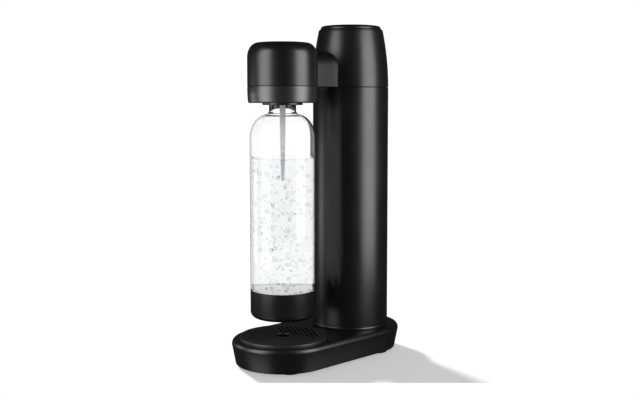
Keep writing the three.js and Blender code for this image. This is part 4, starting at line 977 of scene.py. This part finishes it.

# %% The cup's pale liner, which keeps the foot of the clear bottle light; it glows with painted light
liner_profile = rounded([(38.14, 68.0), (38.34, 68.0, 0.05), (38.34, 93.9, 0.05), (38.14, 93.9)], 2)
liner = turned(liner_profile, BOTTLE_Y, 96)
finish_piece("cup_liner", liner, "bottle_body", "pale_plastic", material=LINER_WHITE_PAINTED_GLOW)

# %% The fill line, a fine ring moulded round the bottle above the water
line_profile = rounded([(40.05, 265.8), (40.3, 265.8, 0.1), (40.3, 266.5, 0.1), (40.05, 266.5)], 2)
fill_line = turned(line_profile, BOTTLE_Y, 96, -75, 60)
finish_piece("fill_line", fill_line, "bottle_body", "clear_plastic", material=FILL_LINE_GREY)

# %% [markdown]
# ## Water and bubbles
# The water fills the bottle to just under the line, with a small meniscus at the wall. Sparkling
# water is full of bubbles, which repeat by the hundred, so Geometry Nodes scatter them with a
# fixed seed: small spheres at random places inside the bottle, more of them small than large.

# %% The water
water_side = [(r, z) for r, z in bottle_side(1.9) if z < WATER_TOP - 2]
meniscus = [(38.3, WATER_TOP + 0.2), (37.6, WATER_TOP - 0.2), (36.0, WATER_TOP - 0.5)]
water_profile = water_side + meniscus + [(0, WATER_TOP - 0.5)]
fine("water", turned(water_profile, BOTTLE_Y, 128), "water_body", "water", 60)


# %% The tree that scatters bubbles
def build_bubble_tree():
    tree, enter = start_tree("rising_bubbles", {
        "Count": 900, "Inner Radius": 0.0, "Outer Radius": 0.036, "Low": 0.075, "High": 0.252,
        "Smallest": 0.0003, "Largest": 0.0021, "Seed": 7})

    def chance(offset):
        """A number from 0 to 1 for each bubble."""
        seed = maths(tree, "ADD", enter["Seed"], offset)
        return put(tree, "FunctionNodeRandomValue", (0, 0), {"Seed": seed}, data_type="FLOAT").outputs[1]

    inner = maths(tree, "MULTIPLY", enter["Inner Radius"], enter["Inner Radius"])
    outer = maths(tree, "MULTIPLY", enter["Outer Radius"], enter["Outer Radius"])
    span = maths(tree, "SUBTRACT", outer, inner)
    radius = maths(tree, "SQRT", maths(tree, "ADD", inner, maths(tree, "MULTIPLY", span, chance(1))))
    angle = maths(tree, "MULTIPLY", chance(2), 2 * math.pi)
    height = maths(tree, "MULTIPLY", maths(tree, "SUBTRACT", enter["High"], enter["Low"]), chance(3))
    place = spot(
        tree, maths(tree, "MULTIPLY", radius, maths(tree, "COSINE", angle)),
        maths(tree, "MULTIPLY", radius, maths(tree, "SINE", angle)),
        maths(tree, "ADD", enter["Low"], height))
    points = put(tree, "GeometryNodePoints", (-1000, 0), {"Count": enter["Count"], "Position": place})
    ball = put(tree, "GeometryNodeMeshIcoSphere", (0, 0), {"Radius": 1.0, "Subdivisions": 2})
    small = maths(tree, "POWER", chance(4), 3.2)
    spread = maths(tree, "SUBTRACT", enter["Largest"], enter["Smallest"])
    size = maths(tree, "ADD", enter["Smallest"], maths(tree, "MULTIPLY", small, spread))
    bubble_copies = copies(tree, points.outputs[0], ball.outputs["Mesh"], Scale=size)
    return end_tree(tree, bubble_copies, GAS_BUBBLE)


# %% The bubbles: a loose cloud everywhere, and a denser column under the nozzle
RISING_BUBBLES = build_bubble_tree()
empty = bpy.data.meshes.new("empty")
cloud = grown(empty, RISING_BUBBLES, {
    "Count": 480, "Inner Radius": 0.006, "Smallest": 0.0005, "Largest": 0.0023})
column = grown(empty, RISING_BUBBLES, {
    "Count": 240, "Outer Radius": 0.015, "High": 0.222, "Seed": 31, "Smallest": 0.0004, "Largest": 0.0018})
edge = grown(empty, RISING_BUBBLES, {
    "Count": 260, "Inner Radius": 0.0366, "Outer Radius": 0.0376, "Low": 0.2548, "High": 0.2554, "Seed": 5,
    "Smallest": 0.0003, "Largest": 0.0006})
bm = bmesh.new()
for part in (cloud, column, edge):
    bm.from_mesh(part)
bmesh.ops.translate(bm, verts=bm.verts, vec=(0, BOTTLE_Y / 1000, 0))
bubbles = bpy.data.meshes.new("bubbles")
bm.to_mesh(bubbles)
bm.free()
finish_piece("bubbles", bubbles, "water_body", "water", angle=180, material=GAS_BUBBLE)

# %% [markdown]
# ## Springs
# A coil spring is a wire that follows a helix. Geometry Nodes draw the spiral and sweep a small
# circle along it; the same tree makes all three springs from their sizes.

# %% The spring tree and the three springs
def build_spring_tree():
    tree, enter = start_tree("coil_spring", {
        "Coil Radius": 0.012, "Wire Radius": 0.0009, "Bottom": 0.4, "Top": 0.42, "Turns": 4.0,
        "Place Y": 0.0605})
    wire2 = maths(tree, "MULTIPLY", enter["Wire Radius"], 2.0)
    room = maths(tree, "SUBTRACT", enter["Top"], enter["Bottom"])
    spiral = put(tree, "GeometryNodeCurveSpiral", (-800, 0), {
        "Resolution": 40, "Rotations": enter["Turns"], "Start Radius": enter["Coil Radius"],
        "End Radius": enter["Coil Radius"], "Height": maths(tree, "SUBTRACT", room, wire2)})
    wire = put(tree, "GeometryNodeCurvePrimitiveCircle", (-800, -300), {
        "Resolution": 10, "Radius": enter["Wire Radius"]})
    sweep = put(tree, "GeometryNodeCurveToMesh", (-500, 0), {
        "Fill Caps": True, "Curve": spiral.outputs[0], "Profile Curve": wire.outputs[0]})
    foot_z = maths(tree, "ADD", enter["Bottom"], enter["Wire Radius"])
    move = put(tree, "GeometryNodeTransform", (-200, 0), {
        "Geometry": sweep.outputs[0], "Translation": spot(tree, y=enter["Place Y"], z=foot_z)})
    return end_tree(tree, move.outputs[0], SLOT_MATERIAL["steel"])


COIL_SPRING = build_spring_tree()
# The last number is how many millimetres the joint presses the spring, towards its fixed end.
for label, body, y, coil, wire, joint, fixed_end, stroke in (
        ("button_spring", "machine", TOWER_Y, 12.0, 0.9, "button_press", "low", 6.0),
        ("valve_spring", "cylinder_travel", TOWER_Y, 3.4, 0.5, "pin_press", "low", 2.334),
        ("relief_spring", "connector", BOTTLE_Y, 3.4, 0.45, "relief_lift", "high", 1.2)):
    low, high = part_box(label)
    spring = grown(empty, COIL_SPRING, {
        "Coil Radius": coil / 1000, "Wire Radius": wire / 1000, "Bottom": low.z, "Top": high.z,
        "Turns": 3.0 if label == "relief_spring" else 4.0, "Place Y": y / 1000})
    bm = bmesh.new()
    bm.from_mesh(spring)
    coil_piece = fine(label, mesh_from(bm), body, "steel")
    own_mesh(coil_piece)

# %% [markdown]
# ## Gas cylinder
# The cylinder behind the rear cover is a drawn bottle with a domed shoulder. Its profile is turned
# with many steps, so the dome is smooth when the cover is off.

# %% The gas cylinder
cylinder_profile = ([(0, 27.0), (18.0, 26.0), (26.0, 22.0)] + arc(26.0, 28.0, 4.0, 6.0, -70, 0, 5)
                    + [(30.0, 294.5)] + arc(13.0, 294.5, 17.0, 25.0, 8, 90, 14) + [(13.0, 331.2)]
                    + [(9.0, 331.2), (9.0, 317.0)] + arc(9.0, 294.5, 18.5, 22.5, 90, 0, 10)
                    + [(27.5, 30.0), (26.0, 29.5), (0, 29.5)])
fine("co2_cylinder", turned(cylinder_profile, TOWER_Y, 96), "cylinder", "cylinder_paint")

# %% [markdown]
# ## Screws
# All the screws are pan heads with a cross recess. They repeat, so one tree puts a screw on every
# point that it is given.

# %% The screw tree and the screws
def build_screw_tree():
    tree, enter = start_tree("cross_screws", {
        "Head Radius": 0.00304, "Head Height": 0.0018, "Shank Radius": 0.0016, "Length": 0.012,
        "Recess": 0.0009, "Up": 1.0})

    def pin(sides, radius, length):
        """A round bar that stands on the point."""
        bar = put(tree, "GeometryNodeMeshCylinder", (-1200, 0), {
            "Vertices": sides, "Radius": radius, "Depth": length})
        middle = spot(tree, z=maths(tree, "MULTIPLY", length, 0.5))
        return put(tree, "GeometryNodeTransform", (-900, 0), {
            "Geometry": bar.outputs["Mesh"], "Translation": middle}).outputs[0]

    whole = put(tree, "GeometryNodeMeshBoolean", operation="UNION", solver="EXACT")
    tree.links.new(pin(32, enter["Head Radius"], enter["Head Height"]), whole.inputs["Mesh 2"])
    tree.links.new(pin(24, enter["Shank Radius"], enter["Length"]), whole.inputs["Mesh 2"])
    recess = put(tree, "GeometryNodeMeshBoolean", operation="DIFFERENCE", solver="EXACT")
    tree.links.new(whole.outputs[0], recess.inputs["Mesh 1"])
    for wide, deep in ((2.4, 0.45), (0.45, 2.4)):
        bar = put(tree, "GeometryNodeMeshCube", (0, 0), {"Size": spot(
            tree, maths(tree, "MULTIPLY", enter["Shank Radius"], wide),
            maths(tree, "MULTIPLY", enter["Shank Radius"], deep),
            maths(tree, "MULTIPLY", enter["Recess"], 2.0))})
        tree.links.new(bar.outputs["Mesh"], recess.inputs["Mesh 2"])
    turned_over = maths(tree, "MULTIPLY", maths(tree, "SUBTRACT", 1.0, enter["Up"]), math.pi)
    screws = copies(tree, enter[0], recess.outputs[0], Rotation=spot(tree, x=turned_over))
    return end_tree(tree, screws, SLOT_MATERIAL["steel"])


CROSS_SCREWS = build_screw_tree()
for label, nodes, at_head, values in (
        ("base_screws", [f"base_screw_{i}" for i in (1, 2, 3, 4)], "low", {"Length": 0.012}),
        ("head_screws", ["head_screw_right", "head_screw_left"], "low", {"Length": 0.027}),
        ("block_screws", ["block_screw_right", "block_screw_left"], "high",
         {"Length": 0.0217, "Up": 0.0, "Head Radius": 0.0032, "Head Height": 0.0022})):
    spots = bpy.data.meshes.new(label)
    places = []
    for node in nodes:
        low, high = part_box(node)
        centre = (low + high) / 2
        places.append((centre.x, centre.y, low.z if at_head == "low" else high.z))
    spots.from_pydata(places, [], [])
    finish_piece(label, grown(spots, CROSS_SCREWS, values), "machine", "steel", nodes)

# %% [markdown]
# ## Inner parts
# The other inner parts keep their CAD shape, which is exact. Each takes the material of its finish
# in its own material slot, so that none is left with the plain colour that it came with.

# %% Materials for the parts that keep their CAD shape
kept_nodes = 0
for row in frame["record"]["subparts"]:
    node = frame["nodes"][row["node"]]
    if node.hide_render:
        continue
    for material_slot in node.material_slots:
        material_slot.material = SLOT_MATERIAL[row["material_slot"]]
    kept_nodes += 1
print("parts that keep their CAD shape:", kept_nodes)

# %% [markdown]
# ## Floor
# A pale sheet under the machine catches its shadow. It belongs to the set, and not to the object. It
# gives off a little light, so that the shadow is an even grey, and it is left out of reflections.

# %% Placing things as the camera sees them: to the right, towards the camera, and up
AZIMUTH = math.radians(44.97)


def seen_from_camera(right, toward, up):
    return Vector((
        right * math.cos(AZIMUTH) + toward * math.sin(AZIMUTH),
        right * math.sin(AZIMUTH) - toward * math.cos(AZIMUTH),
        up)) / 1000


# %% The floor
bm = bmesh.new()
FLOOR_FRONT = 124.8
floor_corners = ((-700, FLOOR_FRONT), (700, FLOOR_FRONT), (900, -900), (-900, -900))
bm.faces.new([bm.verts.new(seen_from_camera(*spot, 0)) for spot in floor_corners])
floor = loose_object(mesh_from(bm))
floor.name = "floor"
FLOOR_WHITE = moulded("floor_white", 0.8, 0.9, 0.195, 0.205, grain=400.0, bump=0.01, specular=0.0)
lit_within(FLOOR_WHITE, 0.45)
floor.data.materials.append(FLOOR_WHITE)
floor.visible_glossy = False
floor.visible_shadow = False
print("floor:", len(floor.data.vertices), "corners")

# %% [markdown]
# ## Light
# Black satin plastic shows its shape only by what it reflects. Tall softboxes on the left and right
# give the upright stripes on every round wall, and a weak one stands further back on the left. Two
# more lie below the floor's level and stand for what a shiny table would mirror into the base. A
# low sun from behind draws the shadow on the floor only. The room is white where it is seen
# directly or through the clear bottle, and dim in reflections, as with dark flags round a table.

# %% A helper for softboxes
def collection_of(name, objects, state):
    group = bpy.data.collections.new(name)
    for obj in objects:
        group.objects.link(obj)
    for member in group.collection_objects:
        member.light_linking.link_state = state
    return group


NOT_FLOOR = collection_of("all_but_floor", [floor], "EXCLUDE")
ONLY_FLOOR = collection_of("only_floor", [floor], "INCLUDE")


def softbox(name, near_edge, far_edge, low, high, radiance):
    """An upright softbox between two (right, toward) edges, facing the object, unseen by the camera."""
    a = seen_from_camera(*near_edge, (low + high) / 2)
    b = seen_from_camera(*far_edge, (low + high) / 2)
    across = (b - a).normalized()
    up = Vector((0, 0, 1))
    facing = across.cross(up)
    middle = (a + b) / 2
    if facing.dot(middle) > 0:
        across, facing = -across, -facing
    data = bpy.data.lights.new(name, "AREA")
    data.shape = "RECTANGLE"
    data.size = (b - a).length
    data.size_y = (high - low) / 1000
    data.energy = radiance * math.pi * data.size * data.size_y
    lamp = bpy.data.objects.new(name, data)
    bpy.context.scene.collection.objects.link(lamp)
    lamp.matrix_world = Matrix.Translation(middle) @ Matrix(
        (across, up, -facing)).transposed().to_4x4()
    lamp.visible_camera = False
    lamp.visible_transmission = False
    lamp.light_linking.receiver_collection = NOT_FLOOR
    return lamp


# %% The softboxes
LAMP_DISTANCE = 600


def ring_spot(angle):
    """A (right, toward) place at an angle from the camera's direction, to the right if positive."""
    return (LAMP_DISTANCE * math.sin(math.radians(angle)), LAMP_DISTANCE * math.cos(math.radians(angle)))


# Each has its two edges in degrees, its lower and upper height, and its strength.
for name, start, end, low, high, radiance in (
        ("right_softbox", 40, 80, 80, 720, 6.0),
        ("left_softbox", -72, -38, 40, 720, 5.6),
        ("left_back_softbox", -112, -92, 40, 330, 2.6),
        ("right_table_light", 50, 95, -700, -230, 0.55),
        ("left_table_light", -80, -34, -700, -200, 1.2)):
    softbox(name, ring_spot(start), ring_spot(end), low, high, radiance)
print("softboxes:", 5)

# %% The sun for the floor's shadow
sun_data = bpy.data.lights.new("shadow_sun", "SUN")
sun_data.energy = 20.0
sun_data.angle = math.radians(7)
sun = bpy.data.objects.new("shadow_sun", sun_data)
bpy.context.scene.collection.objects.link(sun)
towards_sun = seen_from_camera(-500, -870, 410).normalized()
sun.rotation_mode = "QUATERNION"
sun.rotation_quaternion = towards_sun.to_track_quat("Z", "Y")
sun.light_linking.receiver_collection = ONLY_FLOOR
print("sun direction:", [round(v, 2) for v in towards_sun])

# %% The room
world = bpy.data.worlds.new("studio")
bpy.context.scene.world = world
world.use_nodes = True
tree = world.node_tree
background = tree.nodes["Background"]
path = put(tree, "ShaderNodeLightPath", (-900, 0))
direct = maths(tree, "MAXIMUM", path.outputs["Is Camera Ray"], path.outputs["Is Transmission Ray"])
ROOM_DIFFUSE, ROOM_GLOSSY, ROOM_SEEN = 0.80, 0.04, 1.05
mirrored = maths(tree, "MULTIPLY", path.outputs["Is Glossy Ray"], ROOM_GLOSSY - ROOM_DIFFUSE)
unseen = maths(tree, "ADD", mirrored, ROOM_DIFFUSE)
seen_part = maths(tree, "MULTIPLY", direct, ROOM_SEEN)
unseen_part = maths(tree, "MULTIPLY", unseen, maths(tree, "SUBTRACT", 1.0, direct))
tree.links.new(maths(tree, "ADD", seen_part, unseen_part), background.inputs["Strength"])
background.inputs["Color"].default_value = (1.0, 1.0, 1.0, 1.0)
bpy.context.scene.view_settings.view_transform = "Standard"
print("room:", ROOM_DIFFUSE, ROOM_GLOSSY, ROOM_SEEN)

# %% [markdown]
# ## Camera
# The camera stands a little over a metre away, at the height of the head, turned to the corner
# between the machine's front and side, and looks slightly down.

# %% The camera
pitch = math.radians(4.49)
distance = 1205.1
CAMERA_HEIGHT = 324.9
camera_data = bpy.data.cameras.new("camera")
camera_data.lens = 53.65
camera_data.sensor_width = 36
camera_data.shift_x = 0.0035
camera_data.shift_y = -0.0376
camera_data.clip_start = 0.05
camera = bpy.data.objects.new("camera", camera_data)
bpy.context.scene.collection.objects.link(camera)
right = Vector((math.cos(AZIMUTH), math.sin(AZIMUTH), 0))
level = math.cos(pitch)
forward = Vector((-math.sin(AZIMUTH) * level, math.cos(AZIMUTH) * level, -math.sin(pitch)))
up = right.cross(forward)
camera.matrix_world = Matrix.Translation(seen_from_camera(0, distance, CAMERA_HEIGHT)) @ Matrix(
    (right, up, -forward)).transposed().to_4x4()
bpy.context.scene.camera = camera
print("camera at", [round(v, 3) for v in camera.location])
